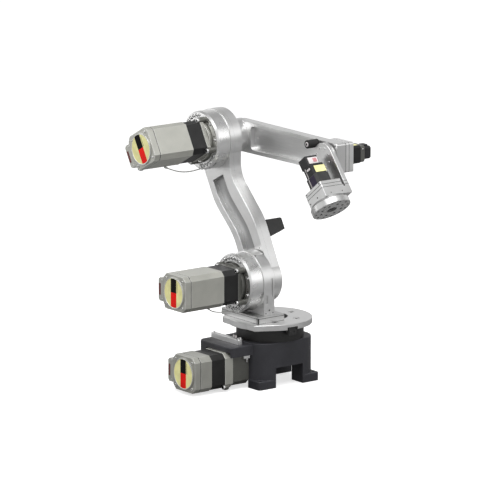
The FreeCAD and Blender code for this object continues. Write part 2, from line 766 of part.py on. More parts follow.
def forearm_link():
    """The channel-faced beam from the elbow to the wrist, with its hub towards the lower arm."""
    y = ("forearm_front", "forearm_back")
    wrist_end = "forearm_length + wrist_block_half"
    elbow = crosswise("ForearmElbow", "forearm_elbow_half", y)
    beam = prism_y("ForearmBeam", [("0", "-forearm_elbow_half"),
                                   (wrist_end, "-forearm_wrist_half", "wrist_block_round"),
                                   (wrist_end, "forearm_wrist_half", "wrist_block_round"),
                                   ("0", "forearm_elbow_half")], y)
    start, end = "forearm_pocket_start", "forearm_length - forearm_pocket_end"
    elbow_wall, wrist_wall = "(forearm_elbow_half - forearm_rim)", "(forearm_wrist_half - forearm_rim)"
    pocket = prism_y("ForearmPocket", [(start, f"-{elbow_wall}", "forearm_pocket_round"),
                                       (end, f"-{wrist_wall}", "forearm_pocket_round"),
                                       (end, wrist_wall, "forearm_pocket_round"),
                                       (start, elbow_wall, "forearm_pocket_round")],
                     ("forearm_front - cut_past", "forearm_front + forearm_pocket_depth"))
    body = cut("ForearmPlate", fuse("ForearmSolid", elbow, beam), pocket)
    body = eased(body, "plate_edge", lying_at("Y", *y))
    hub = crosswise("ForearmHub", "hub_radius",
                    ("arm_back + running_gap", "forearm_front + forearm_pocket_depth"))
    node("forearm_link", place(fuse("Forearm", body, hub), "elbow_x", 0, "elbow_z"))


def wrist_bumper():
    """The rubber-sleeved pin that limits the wrist's pitch."""
    x, end = "forearm_length - bumper_offset", "forearm_front - bumper_length"
    sleeve = crosswise("BumperSleeve", "bumper_radius", (end, "forearm_front"), x, "bumper_z")
    sleeve = eased(sleeve, "plate_edge", lying_at("Y", end))
    bore = crosswise("BumperBore", "bumper_bore", (f"{end} - cut_past", f"{end} + bumper_bore_depth"),
                     x, "bumper_z")
    node("wrist_bumper", place(cut("WristBumper", sleeve, bore), "elbow_x", 0, "elbow_z"))


def pitch_drive():
    """Gear case and small motor behind the end of the forearm, on the wrist's pitch axis."""
    case = rectangle(("-wrist_block_half", "wrist_block_half"), ("-forearm_wrist_half", "forearm_wrist_half"),
                     "wrist_block_round")
    stator = octagon("small_half", "small_chamfer")
    cap = octagon("small_half - stator_step", "small_chamfer")
    encoder = octagon("encoder_frame / 2", "small_chamfer")
    stages = [("pitch_gear_plate", "PitchGearPlate", case, "pitch_plate_length"),
              ("pitch_gear_cover", "PitchGearCover", case, "pitch_cover_length"),
              ("pitch_motor_stator", "PitchStator", stator, "pitch_stator_length"),
              ("pitch_motor_cap", "PitchCap", cap, "pitch_cap_length"),
              ("pitch_motor_encoder", "PitchEncoder", encoder, "encoder_length")]
    face = "forearm_back"
    for label, name, section, length in stages:
        stage = prism_y(name, section, ("0", length))
        node(label, place_eased(stage, ("0", length), "wrist_x", face, "elbow_z"))
        face = f"{face} + {length}"


# ---------------------------------------------------------------- wrist

def in_wrist(label, item):
    """Enter a wrist piece, modelled about the pitch axis with the tool pointing down."""
    node(label, lean_back(item, "wrist_tilt", "wrist_x", 0, "elbow_z"))


def wrist_bracket():
    """A round-headed side plate on the forearm's front, with a foot that crosses the tool axis."""
    plate_y = ("wrist_front", "wrist_back")
    head = crosswise("WristHead", "case_half", plate_y)
    side = block("WristSide", ("-case_half", "case_half"), plate_y, ("-foot_level", "0"))
    foot = block("WristFoot", ("-case_half", "case_half"), ("-case_front", "wrist_back"),
                 ("-foot_level", "-foot_top_level"))
    body = eased(fuse("WristBody", head, side, foot), "case_edge", lying_at("Y", "-case_front", *plate_y))
    hub = crosswise("WristHub", "wrist_hub_radius", ("wrist_back", "forearm_front - running_gap"))
    in_wrist("wrist_bracket", fuse("WristBracket", body, hub))


def roll_drive():
    """Gear case plates and motor above the bracket's foot, and the reducer below it, on the tool axis."""
    case = rectangle(("-case_half", "case_half"), ("-case_front", "wrist_front - case_gap"), "case_round")
    shift, reach, depth = "roll_cover_shift", "roll_cover_width / 2", "roll_cover_depth / 2"
    cover = rectangle((f"-{shift} - {reach}", f"-{shift} + {reach}"), (f"-{depth}", depth), "small_chamfer")
    body = octagon("small_half", "small_chamfer")
    rear = octagon("roll_rear_frame / 2", "small_chamfer")
    stages = [("roll_gear_plate", "RollGearPlate", case, "foot_top_level", "gear_top_level"),
              ("roll_motor_plate", "RollMotorPlate", case, "gear_top_level", "motor_plate_level"),
              ("roll_motor_body", "RollBody", body, "motor_plate_level", "roll_rear_level"),
              ("roll_motor_rear", "RollRear", rear, "roll_rear_level", "roll_cover_level"),
              ("roll_motor_cover", "RollCover", cover, "roll_cover_level", "roll_top_level")]
    for label, name, section, low, high in stages:
        levels = (f"-({low})", f"-({high})")
        in_wrist(label, eased(prism_z(name, section, levels), "case_edge", lying_at("Z", *levels)))
    neck = upright("RollNeck", "roll_neck_radius", ("-tool_back_level", "-foot_level"))
    bore = upright("RollNeckBore", "roll_hollow_radius",
                   ("-tool_back_level - cut_past", "-foot_level + cut_past"))
    in_wrist("roll_reducer", cut("RollReducer", neck, bore))


def tool_flange():
    """The output disc, with a central bore, tapped holes for a tool and a ring of small screw holes."""
    low, high = "-tool_reach", "-tool_back_level - running_gap"
    disc = eased(upright("ToolDisc", "tool_radius", (low, high)), "plate_edge", lying_at("Z", low, high))
    cuts = [upright("ToolBore", "tool_bore_radius", (f"{low} - cut_past", f"{high} + cut_past"))]
    for name, kind in (("ToolHole", "tool_bolt"), ("RimHole", "rim_bolt")):
        count, circle = f"{kind}s", f"{kind}_circle"
        for index in range(round(number(count))):
            angle = f"({index} * 360 / {count})"
            cuts.append(upright(f"{name}{index}", f"{kind}_radius",
                                (f"{low} - cut_past", f"{low} + {kind}_depth"),
                                f"{circle} * cos({angle})", f"{circle} * sin({angle})"))
    in_wrist("tool_flange", cut("ToolFlange", disc, *cuts))


# ---------------------------------------------------------------- assembly

def check():
    """Stop where any feature failed or any sub-part isn't a valid solid."""
    for item in doc.Objects:
        if "Invalid" in item.State or "Error" in item.State:
            raise RuntimeError(f"{item.Name} failed: {item.State}")
    for item in nodes:
        if item.Shape.isNull() or not item.Shape.isValid() or not item.Shape.Solids:
            raise RuntimeError(f"{item.Label} has no valid solid")


def main():
    base_casting()
    slewing_ring()
    homing_rail()
    base_drive()
    turntable_plate()
    turntable_stop()
    riser_plate()
    shoulder_bracket()
    joint_drive("shoulder", "Shoulder", "shoulder_x", "shoulder_face", "shoulder_z")
    lower_arm()
    arm_stop()
    joint_drive("elbow", "Elbow", "elbow_x", "elbow_face", "elbow_z", "arm_lean")
    lead("shoulder_motor_lead", SHOULDER_LEAD, "shoulder_x", "shoulder_face", "shoulder_z")
    lead("elbow_motor_lead", ELBOW_LEAD, "elbow_x", "elbow_face", "elbow_z")
    forearm_link()
    wrist_bumper()
    pitch_drive()
    wrist_bracket()
    roll_drive()
    tool_flange()
    doc.recompute()
    check()
    os.makedirs("parts", exist_ok=True)
    for item in nodes:
        item.Shape.exportStep(f"parts/{item.Label}.step")
    print(len(nodes), "sub-parts")


main()
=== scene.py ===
"""Looks of the bench-size robot arm: finishes, fasteners, plates, leads, studio and camera.

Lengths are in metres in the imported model's frame: +Z up, the forearm along +X, the motors to -Y.
"""

import json
import math

import bmesh
import bpy
import numpy as np
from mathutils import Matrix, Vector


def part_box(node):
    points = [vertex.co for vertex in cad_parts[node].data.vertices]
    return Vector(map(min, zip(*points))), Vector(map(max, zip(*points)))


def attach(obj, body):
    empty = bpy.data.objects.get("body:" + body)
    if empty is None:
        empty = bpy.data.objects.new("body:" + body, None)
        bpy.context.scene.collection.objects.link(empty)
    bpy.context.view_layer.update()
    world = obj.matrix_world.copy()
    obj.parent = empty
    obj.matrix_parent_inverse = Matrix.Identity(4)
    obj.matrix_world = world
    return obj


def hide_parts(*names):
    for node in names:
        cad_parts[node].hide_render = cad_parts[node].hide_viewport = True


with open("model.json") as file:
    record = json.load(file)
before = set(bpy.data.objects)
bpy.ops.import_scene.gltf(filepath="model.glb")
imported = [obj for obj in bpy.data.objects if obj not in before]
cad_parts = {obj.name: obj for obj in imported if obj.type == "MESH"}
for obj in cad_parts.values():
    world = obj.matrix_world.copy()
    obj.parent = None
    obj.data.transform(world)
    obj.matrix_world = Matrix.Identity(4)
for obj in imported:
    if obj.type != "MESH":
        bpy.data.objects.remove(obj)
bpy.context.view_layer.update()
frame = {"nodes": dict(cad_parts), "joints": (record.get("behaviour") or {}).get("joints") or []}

MM = 0.001
X, Y, Z = np.eye(3)
FULL_TURN = 2 * math.pi


# ---------------- places read from the frame

class Seat:
    """A flat place on the arm: an origin with a rightward, an upward and an outward direction."""

    def __init__(self, origin, right, up):
        self.origin, self.right, self.up = (np.array(each, float) for each in (origin, right, up))
        self.out = np.cross(self.right, self.up)

    def points(self, right, up, out):
        """origin + right * rightward + up * upward + out * outward, for numbers or whole arrays."""
        right, up, out = np.broadcast_arrays(right, up, out)
        return (self.origin + right[..., None] * self.right + up[..., None] * self.up
                + out[..., None] * self.out)

    def moved(self, right=0.0, up=0.0, out=0.0):
        """The same directions from a point given in this seat."""
        return Seat(self.points(right, up, out), self.right, self.up)


def low(node):
    """The lowest corner of a node's box."""
    return np.array(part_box(node)[0])


def high(node):
    """The highest corner of a node's box."""
    return np.array(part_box(node)[1])


def middle(node):
    """The middle of a node's box."""
    return (low(node) + high(node)) / 2


def reach(node, seat):
    """Lowest and highest (right, up, out) of a node's points in a seat."""
    mesh = frame["nodes"][node].data
    points = np.empty(len(mesh.vertices) * 3, np.float32)
    mesh.vertices.foreach_get("co", points)
    local = (points.reshape(-1, 3) - seat.origin) @ np.stack([seat.right, seat.up, seat.out]).T
    return local.min(0), local.max(0)


def with_y(point, y):
    """The point carried along Y to a station."""
    return np.array([point[0], y, point[2]])


JOINT = {joint["name"]: joint for joint in frame["joints"]}
SHOULDER, ELBOW, WRIST = (np.array(JOINT[name]["pos_m"], float)
                          for name in ("shoulder_swing", "elbow_swing", "wrist_pitch"))
ARM_LEAN = math.atan2(SHOULDER[0] - ELBOW[0], ELBOW[2] - SHOULDER[2])
TOOL_AXIS = np.array(JOINT["tool_roll"]["axis"], float)
WRIST_TILT = math.atan2(TOOL_AXIS[0], -TOOL_AXIS[2])


def facing_minus_y(origin, lean=0.0):
    """A seat on a -Y face, its upward direction leaning back towards -X by an angle."""
    return Seat(origin, [math.cos(lean), 0, math.sin(lean)], [-math.sin(lean), 0, math.cos(lean)])


ARM_FACE = facing_minus_y(SHOULDER, ARM_LEAN)
ARM_RIGHT, ARM_UP = ARM_FACE.right, ARM_FACE.up
WRIST_SIDE = facing_minus_y(WRIST, WRIST_TILT)
WRIST_FACE = Seat(WRIST, Y, -TOOL_AXIS)
ALONG_TOOL = Seat(WRIST, Y, WRIST_SIDE.right)

POCKET_DEPTH = 12 * MM
ARM_FRONT, ARM_BACK = high("elbow_reducer")[1], high("lower_arm_link")[1]
FOREARM_FRONT, FOREARM_BACK = high("wrist_bumper")[1], high("forearm_link")[1]


# ---------------- surfaces on a grid

SOCKET_SHADE_ROW = 4


def in_mm(*rows):
    """Rows of millimetres as an array of metres."""
    return np.array(rows, float) * MM


def circle(radius, columns=48):
    """Right and up of a circle: radius * (cos, sin) of the turn."""
    turn = np.arange(columns) * FULL_TURN / columns
    return radius * np.cos(turn), radius * np.sin(turn)


def rounded(half_right, half_up, radius, steps=5):
    """Right and up of a rounded rectangle: each corner's centre plus radius * (cos, sin) of the turn."""
    turn = (np.arange(4)[:, None] + np.linspace(0, 1, steps)[None, :]) * math.pi / 2
    side = np.array([[1, 1], [-1, 1], [-1, -1], [1, -1]], float)
    return ((side[:, :1] * (half_right - radius) + radius * np.cos(turn)).ravel(),
            (side[:, 1:] * (half_up - radius) + radius * np.sin(turn)).ravel())


def lofted(seat, loops):
    """Closed shell through loops of (right, up, out), each end drawn in to its loop's middle."""
    right = np.stack([loop[0] for loop in loops])
    up = np.stack([loop[1] for loop in loops])
    out = np.stack([np.full_like(loop[0], loop[2]) for loop in loops])
    right, up, out = (np.concatenate([np.full_like(each[:1], each[0].mean()), each,
                                      np.full_like(each[:1], each[-1].mean())]) for each in (right, up, out))
    return seat.points(right, up, out)[None]


def revolved(seat, profile, columns=48, spots=((0.0, 0.0),)):
    """Closed shells of a profile of (radius, out) pairs about outward axes at (right, up) spots:
    spot + radius * (cos, sin) of the turn, out."""
    radius, out = np.array(profile, float).T[..., None]
    across, rise = circle(1.0, columns)
    spots = np.array(spots, float)[:, :, None, None]
    right = spots[:, 0] + radius * across
    return seat.points(right, spots[:, 1] + radius * rise, np.broadcast_to(out, right.shape))


def block(seat, half_right, half_up, depth, corner=1.0 * MM, bevel=0.4 * MM, start=0.0):
    """A block with rounded corners and a bevelled rim: loops at start, at depth - bevel and at depth."""
    base = rounded(half_right, half_up, corner)
    rim = rounded(half_right - bevel, half_up - bevel, max(corner - bevel, 0.02 * MM))
    return lofted(seat, [(*base, start), (*base, depth - bevel), (*rim, depth)])


def disc(seat, radius, depth, bevel=0.3 * MM, start=0.0, columns=48):
    """A disc with a bevelled rim: a profile from the axis at start round to the axis at depth."""
    return revolved(seat, [(0, start), (radius, start), (radius, depth - bevel), (radius - bevel, depth),
                           (0, depth)], columns)


def washer(seat, bore, radius, depth, bevel=0.2 * MM, start=0.0, columns=48):
    """A flat ring whose section is a closed profile from the bore's foot round to the bore's top."""
    return revolved(seat, [(bore, start), (radius, start), (radius, depth - bevel), (radius - bevel, depth),
                           (bore + bevel, depth), (bore, depth - bevel), (bore, start)], columns)


def screw_heads(seat, spots, radius, height, columns=12, sink=0.5 * MM):
    """Socket-head screws at (right, up) spots, and the row at which their sockets start.

    Rows run up the side, over the bevelled rim and down the socket, whose rows are a hexagon:
    radius = apothem / cos(turn folded into 60 degrees). The socket's rows take painted shade.
    """
    turn = np.arange(columns) * FULL_TURN / columns
    fold = 1 / np.cos((turn + math.pi / 6) % (math.pi / 3) - math.pi / 6)
    bevel, apothem = 0.14 * radius, 0.5 * radius
    rows = [(0, -sink, 0), (radius, -sink, 0), (radius, height - bevel, 0), (radius - bevel, height, 0),
            (apothem, height, 1), (apothem, 0.35 * height, 1), (0, 0.3 * height, 1)]
    spread, out, hexagon = (np.array(each, float)[:, None] for each in zip(*rows))
    spread = spread * (1 - hexagon + hexagon * fold)
    right = spots[:, 0, None, None] + spread * np.cos(turn)
    up = spots[:, 1, None, None] + spread * np.sin(turn)
    return seat.points(right, up, np.broadcast_to(out, right.shape)), SOCKET_SHADE_ROW


def bores(seat, spots, radius, depth=0.25 * MM, rim=0.5 * MM, sink=0.3 * MM):
    """Shallow dark eyes of painted shade that stand for the mouths of small screw holes: a low cone with a
    dished middle.
    """
    profile = [(0, -sink), (radius + rim, -sink), (radius, depth), (0.7 * radius, 0.3 * depth),
               (0, 0.1 * depth)]
    return revolved(seat, profile, 12, spots)


def ring_of_spots(radius, turns):
    """Spots on a circle at turns in degrees."""
    turns = np.radians(np.array(turns, float))
    return np.stack([radius * np.cos(turns), radius * np.sin(turns)], axis=-1)


def corners_of(half_right, half_up=None):
    """Four spots, one in each corner."""
    side = np.array([[1, 1], [-1, 1], [-1, -1], [1, -1]], float)
    return side * (half_right, half_right if half_up is None else half_up)


def placed(name, data):
    """A new object in the scene."""
    item = bpy.data.objects.new(name, data)
    bpy.context.scene.collection.objects.link(item)
    return item


def piece(name, body, slot, finish, *shells, dark=None, crease=32):
    """One piece of closed shells that rides on a body; each shell is (copies, rows, columns, 3).

    A shell given with a row number has the dark finish, painted shade, from that row on.
    """
    vertices, faces, shades, count = [], [], [], 0
    for shell in shells:
        shell, shade_from = shell if isinstance(shell, tuple) else (shell, shell.shape[1])
        copies, rows, columns = shell.shape[:3]
        first = np.arange(rows - 1)[:, None] * columns
        this, after = np.arange(columns), np.roll(np.arange(columns), -1)
        quads = np.stack([first + this, first + after, first + after + columns, first + this + columns], -1)
        steps = np.arange(copies)[:, None, None] * rows * columns
        faces.append((quads.reshape(1, -1, 4) + steps + count).reshape(-1, 4))
        shades.append(np.tile(np.repeat(np.arange(rows - 1) >= shade_from, columns), copies))
        vertices.append(shell.reshape(-1, 3))
        count += copies * rows * columns
    mesh = bpy.data.meshes.new(name)
    mesh.from_pydata(np.concatenate(vertices), [], np.concatenate(faces))
    for each in filter(None, (finish, dark)):
        mesh.materials.append(each)
    mesh.polygons.foreach_set("material_index", np.concatenate(shades).astype(np.int32))
    close_seams(mesh)
    mesh.shade_smooth()
    mesh.set_sharp_from_angle(angle=math.radians(crease))
    item = placed(name, mesh)
    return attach(item, body)


def close_seams(mesh):
    """Merge the points that lie together at seams and poles."""
    work = bmesh.new()
    work.from_mesh(mesh)
    bmesh.ops.remove_doubles(work, verts=work.verts, dist=0.5e-6)
    bmesh.ops.dissolve_degenerate(work, edges=work.edges, dist=0.5e-6)
    work.to_mesh(mesh)
    work.free()


# ---------------- finishes

class Value:
    """A shader socket that takes part in Python sums: each operator adds a Math node."""

    def __init__(self, shading, socket):
        self.shading, self.socket = shading, socket

    def math(self, operation, *terms):
        """A Math node on terms that are values or numbers."""
        return self.shading.node("ShaderNodeMath", {"operation": operation}, dict(enumerate(terms)))

    def __add__(self, other):
        return self.math("ADD", self, other)

    def __radd__(self, other):
        return self.math("ADD", other, self)

    def __sub__(self, other):
        return self.math("SUBTRACT", self, other)

    def __rsub__(self, other):
        return self.math("SUBTRACT", other, self)

    def __mul__(self, other):
        return self.math("MULTIPLY", self, other)

    def __rmul__(self, other):
        return self.math("MULTIPLY", other, self)

    def __gt__(self, other):
        return self.math("GREATER_THAN", self, other)

    def __lt__(self, other):
        return self.math("LESS_THAN", self, other)

    def __abs__(self):
        return self.math("ABSOLUTE", self)

    def ramp(self, start, end):
        """0 at start, 1 at end and straight between, held at both ends."""
        return self.shading.node("ShaderNodeMapRange", {"clamp": True},
                                 {"Value": self, "From Min": start, "From Max": end})


class Shading:
    """Nodes added one at a time to a tree."""

    def __init__(self, tree):
        self.tree = tree

    def node(self, kind, settings=None, sockets=None, output=0):
        """A node of a kind: its settings are set first, then its sockets' values or links."""
        made = self.tree.nodes.new(kind)
        for name, value in (settings or {}).items():
            setattr(made, name, value)
        self.feed(made, sockets or {})
        return Value(self, made.outputs[output])

    def feed(self, made, sockets):
        """Set a node's sockets, or link the values that are given for them."""
        for name, value in sockets.items():
            if isinstance(value, Value):
                self.tree.links.new(value.socket, made.inputs[name])
            else:
                made.inputs[name].default_value = value

    def vector(self, operation, *terms, output=0):
        """A Vector Math node."""
        return self.node("ShaderNodeVectorMath", {"operation": operation}, dict(enumerate(terms)), output)

    def mix(self, share, first, second):
        """first where share is 0, second where it is 1."""
        return self.node("ShaderNodeMix", {"data_type": "RGBA"}, {0: share, 6: first, 7: second}, 2)


class Finish(Shading):
    """A material built on one Principled shader."""

    def __init__(self, name, **constants):
        self.material = bpy.data.materials.new(name)
        self.material.use_nodes = True
        super().__init__(self.material.node_tree)
        self.tree.nodes.clear()
        self.shader = self.tree.nodes.new("ShaderNodeBsdfPrincipled")
        output = self.tree.nodes.new("ShaderNodeOutputMaterial")
        self.tree.links.new(self.shader.outputs["BSDF"], output.inputs["Surface"])
        for socket, value in constants.items():
            self.shader.inputs[socket.replace("_", " ")].default_value = value
        self.place = self.node("ShaderNodeTexCoord", output="Object")

    def give(self, **sockets):
        """Link sockets of the shader; an underscore stands for a space."""
        self.feed(self.shader, {name.replace("_", " "): value for name, value in sockets.items()})
        return self.material

    def noise(self, fineness, stretch=(1, 1, 1), detail=2.0, turn=(0, 0, 0)):
        """Smooth noise with so many cells a metre, divided along each axis by its stretch."""
        scale = tuple(fineness / each for each in stretch)
        place = self.node("ShaderNodeMapping", {"vector_type": "POINT"},
                          {"Vector": self.place, "Rotation": turn, "Scale": scale})
        return self.node("ShaderNodeTexNoise", {"noise_dimensions": "3D"},
                         {"Vector": place, "Scale": 1.0, "Detail": detail}, "Fac")

    def radius(self, centre, axis):
        """Distance from an axis: the length of (place - centre) x axis."""
        arm = self.vector("SUBTRACT", self.place, tuple(centre))
        return self.vector("LENGTH", self.vector("CROSS_PRODUCT", arm, tuple(axis)), output="Value")

    def along(self, direction):
        """Distance along a direction from the origin."""
        return self.vector("DOT_PRODUCT", self.place, tuple(direction), output="Value")

    def edge(self, width, full=0.22):
        """1 on an edge and 0 a width away: how far the rounded normal leaves the true one."""
        rounded = self.node("ShaderNodeBevel", {"samples": 4}, {"Radius": width})
        true = self.node("ShaderNodeNewGeometry", output="Normal")
        agreement = self.vector("DOT_PRODUCT", rounded, true, output="Value")
        return (1 - agreement).ramp(0.01, full)

    def bump(self, height, depth, soften=0.0):
        """Normal of a surface whose height runs from 0 to depth, with edges rounded by a radius."""
        sockets = {"Strength": 1.0, "Distance": depth, "Height": height}
        if soften:
            sockets["Normal"] = self.node("ShaderNodeBevel", {"samples": 4}, {"Radius": soften})
        return self.node("ShaderNodeBump", {}, sockets)


def grey(level, blue=0.0):
    """A colour of one linear level, with a share more or less of blue."""
    return level, level, level * (1 + blue), 1.0


CLOUDY = (0.3, 0.7)
FLOOR_BAND = 0.1 * MM
# painted shade for the seams between plates and for the groove before a motor's rear cover
SEAM_HALF, SEAM_SHADE = 0.5 * MM, grey(0.02)
COVER_SEAM, COVER_SEAM_HALF, COVER_SEAM_SHADE = 20.6 * MM, 0.7 * MM, grey(0.03)


def milled(name, level=0.78, sheen=0.36, turn=(0, 0, 0), stretch=(30, 1, 1), floor=None, seams=None):
    """Milled and bead-blasted aluminium: cutter streaks along one direction under a fine grain.

    The floor of a pocket is its station along Y and the share of the level left there, a painted
    shade. Seams are a direction and the stations along it where two plates meet in a line of painted shade.
    """
    metal = Finish(name, Metallic=1.0)
    cloud, grain = metal.noise(28), metal.noise(1500, detail=3)
    streak = metal.noise(900, stretch, turn=turn)
    edge = metal.edge(1.2 * MM)
    colour = metal.mix(cloud.ramp(*CLOUDY), grey(level * 0.94, -0.008), grey(level, -0.004))
    if floor:
        station, share = floor
        on_floor = abs(metal.along(Y) - station) < FLOOR_BAND
        # painted shade: the pocket's floor is darkened to the share of the level, with streaks
        floor_shade = metal.mix(streak, grey(level * share * 0.9), grey(level * share * 1.1))
        colour = metal.mix(on_floor, colour, floor_shade)
    colour = metal.mix(edge * 0.5, colour, grey(min(level * 1.12, 0.95)))
    direction, stations = seams or (Y, ())
    for station in stations:
        # painted shade: a dark line where two plates meet
        in_shaded_seam = abs(metal.along(direction) - station) < SEAM_HALF
        colour = metal.mix(in_shaded_seam, colour, SEAM_SHADE)
    rough = sheen + (cloud - 0.5) * 0.12 + (streak - 0.5) * 0.16 - edge * 0.08
    return metal.give(Base_Color=colour, Roughness=rough,
                      Normal=metal.bump(streak * 0.6 + grain * 0.4, 0.05 * MM, 0.5 * MM))


def turned(name, centre, axis, level=0.76, sheen=0.28, depth=0.07):
    """Lathe-turned metal: every height on the surface depends on its distance from the axis."""
    metal = Finish(name, Metallic=1.0)
    radius = metal.radius(centre, axis)
    ring = metal.node("ShaderNodeTexNoise", {"noise_dimensions": "1D"},
                      {"W": radius * 1400, "Scale": 1.0, "Detail": 2.0}, "Fac")
    band = metal.node("ShaderNodeTexNoise", {"noise_dimensions": "1D"},
                      {"W": radius * 130, "Scale": 1.0, "Detail": 1.0}, "Fac")
    cloud, grain = metal.noise(35), metal.noise(1800)
    edge = metal.edge(1.2 * MM)
    colour = metal.mix(band.ramp(0.35, 0.65), grey(level * 0.93, -0.008), grey(level, -0.004))
    colour = metal.mix(edge * 0.5, colour, grey(min(level * 1.14, 0.95)))
    rough = sheen + (band - 0.5) * 0.14 + (cloud - 0.5) * 0.08
    return metal.give(Base_Color=colour, Roughness=rough,
                      Normal=metal.bump(ring * 0.8 + grain * 0.2, depth * MM, 0.5 * MM))


def cast(name, level, wear, sheen, blue=0.0, coarse=420):
    """Powder-coated casting: orange-peel skin, dusty clouds and paler rubbed edges."""
    paint = Finish(name, Metallic=0.0, IOR=1.5, Specular_IOR_Level=0.35)
    cloud, skin, peel = paint.noise(22, detail=4), paint.noise(coarse, detail=3), paint.noise(1600)
    edge = paint.edge(1.6 * MM)
    colour = paint.mix(cloud.ramp(*CLOUDY), grey(level * 0.86, blue), grey(level * 1.12, blue))
    colour = paint.mix(edge * (0.35 + cloud * 0.5), colour, grey(wear, blue))
    rough = sheen + (cloud - 0.5) * 0.2 + (skin - 0.5) * 0.12 - edge * 0.1
    return paint.give(Base_Color=colour, Roughness=rough,
                      Normal=paint.bump(skin * 0.7 + peel * 0.3, 0.12 * MM, 0.8 * MM))


def die_cast(name, level=0.5, sheen=0.4, blue=-0.09, seam=None):
    """Satin lacquer over a die-casting, with faint flow marks and edges lightened: partly metal showing,
    partly a painted highlight.

    The seam is the station along Y of the groove between a motor's case and its rear cover, painted in as a
    dark line of shade.
    """
    paint = Finish(name, Metallic=0.5, IOR=1.5)
    cloud, speck, skin = paint.noise(30, detail=4), paint.noise(2600, detail=1), paint.noise(700)
    edge = paint.edge(1.2 * MM, 0.07)
    colour = paint.mix(cloud.ramp(*CLOUDY), grey(level * 0.93, blue), grey(level * 1.05, blue))
    colour = paint.mix((speck > 0.66) * 0.35, colour, grey(level * 1.25, blue))
    # painted highlight, partly bare-metal wear: edges much lighter
    colour = paint.mix(edge * 0.9, colour, grey(min(level * 2.1, 0.95), blue / 3))
    if seam is not None:
        # painted shade: a dark line in the groove before the rear cover
        in_shaded_seam = abs(paint.along(Y) - seam) < COVER_SEAM_HALF
        colour = paint.mix(in_shaded_seam, colour, COVER_SEAM_SHADE)
    rough = sheen + (cloud - 0.5) * 0.14 + (skin - 0.5) * 0.08 - edge * 0.14
    return paint.give(Base_Color=colour, Roughness=rough,
                      Normal=paint.bump(skin, 0.05 * MM, 0.4 * MM))


def laminated(name, axis, pitch=1.0 * MM, level=0.012):
    """A stack of black-lacquered laminations: one line to a pitch along the motor's axis."""
    stack = Finish(name, Metallic=0.0, IOR=1.5, Specular_IOR_Level=0.35)
    phase = stack.along(axis) * (FULL_TURN / pitch)
    wave = phase.math("SINE", phase)
    cloud, skin = stack.noise(40, detail=3), stack.noise(1300)
    edge = stack.edge(0.9 * MM)
    colour = stack.mix(cloud.ramp(*CLOUDY), grey(level * 0.8), grey(level * 1.25))
    colour = stack.mix(edge * 0.5, colour, grey(level * 4))
    rough = 0.42 + (cloud - 0.5) * 0.16 + wave * 0.04
    return stack.give(Base_Color=colour, Roughness=rough,
                      Normal=stack.bump(wave * 0.35 + skin * 0.5, 0.06 * MM, 0.4 * MM))


def moulded(name, colour, wear, sheen, fineness=1700, gloss=0.35):
    """Moulded plastic or rubber: a fine leathery grain with dulled patches."""
    plastic = Finish(name, Metallic=0.0, IOR=1.46, Specular_IOR_Level=gloss)
    cloud, grain = plastic.noise(45, detail=3), plastic.noise(fineness, detail=2)
    edge = plastic.edge(0.7 * MM)
    dark = tuple(each * 0.85 for each in colour) + (1.0,)
    pale = tuple(each * 1.12 for each in colour) + (1.0,)
    shade = plastic.mix(cloud.ramp(*CLOUDY), dark, pale)
    shade = plastic.mix(edge * 0.4, shade, tuple(wear) + (1.0,))
    return plastic.give(Base_Color=shade, Roughness=sheen + (cloud - 0.5) * 0.18 + (grain - 0.5) * 0.1,
                        Normal=plastic.bump(grain, 0.05 * MM, 0.3 * MM))


RISER_GROOVE = 4 * MM
GEAR_PLATE_ENDS = [WRIST @ TOOL_AXIS + end[2] for end in reach("roll_gear_plate", ALONG_TOOL)]
PITCH_CASE_JOINTS = [low("pitch_gear_cover")[1], low("pitch_gear_plate")[1]]

ALUMINIUM = milled("milled_aluminium")
FOREARM_ALUMINIUM = milled("milled_aluminium_forearm", stretch=(40, 1, 1),
                           floor=(FOREARM_FRONT + POCKET_DEPTH, 1.0))
# the arm's pocket floor takes painted shade at 0.42 of the level
ARM_ALUMINIUM = milled("milled_aluminium_arm", turn=(0, ARM_LEAN, 0), stretch=(1, 1, 30),
                       floor=(ARM_FRONT + POCKET_DEPTH, 0.42))
# each seams entry draws a line of painted shade where parts meet or in a groove
RISER_ALUMINIUM = milled("milled_riser", 0.6, 0.42, stretch=(30, 1, 1),
                         seams=(Z, [low("riser_plate")[2], high("riser_plate")[2] - RISER_GROOVE]))
BRACKET_ALUMINIUM = milled("milled_bracket", 0.76, stretch=(1, 1, 30),
                           seams=(Z, [low("shoulder_bracket")[2]]))
CAST_BLACK = cast("black_casting", 0.037, 0.12, 0.5, blue=0.16)
BLACKED_STEEL = cast("blackened_steel", 0.026, 0.07, 0.42, coarse=900)
MOTOR_GREY = die_cast("motor_grey", 0.46, 0.34)
FLANGE_ALLOY = die_cast("flange_alloy", 0.13, 0.4)
# seams: painted shade lines between the wrist's plates
PLATE_STACK = milled("milled_gear_plates", stretch=(1, 1, 1), seams=(TOOL_AXIS, GEAR_PLATE_ENDS))
CASE_STACK = milled("milled_pitch_case", 0.9, stretch=(1, 1, 30), seams=(Y, PITCH_CASE_JOINTS))
MOTOR_BLACK = laminated("stator_laminations", Y)
ROLL_BLACK = laminated("roll_motor_laminations", TOOL_AXIS, level=0.035)
BLACK_PLASTIC = moulded("black_plastic", (0.02, 0.02, 0.021), (0.12, 0.12, 0.12), 0.45)
RUBBER = moulded("dark_rubber", (0.018, 0.018, 0.018), (0.06, 0.06, 0.06), 0.62, 1100)
SHEATH = moulded("lead_sheath", (0.6, 0.6, 0.58), (0.6, 0.6, 0.6), 0.4)
CREAM = moulded("cream_print", (0.88, 0.84, 0.40), (0.85, 0.85, 0.6), 0.5, 2600, 0.2)
RED = moulded("signal_red_print", (0.85, 0.008, 0.004), (0.8, 0.05, 0.04), 0.5, 2600, 0.15)
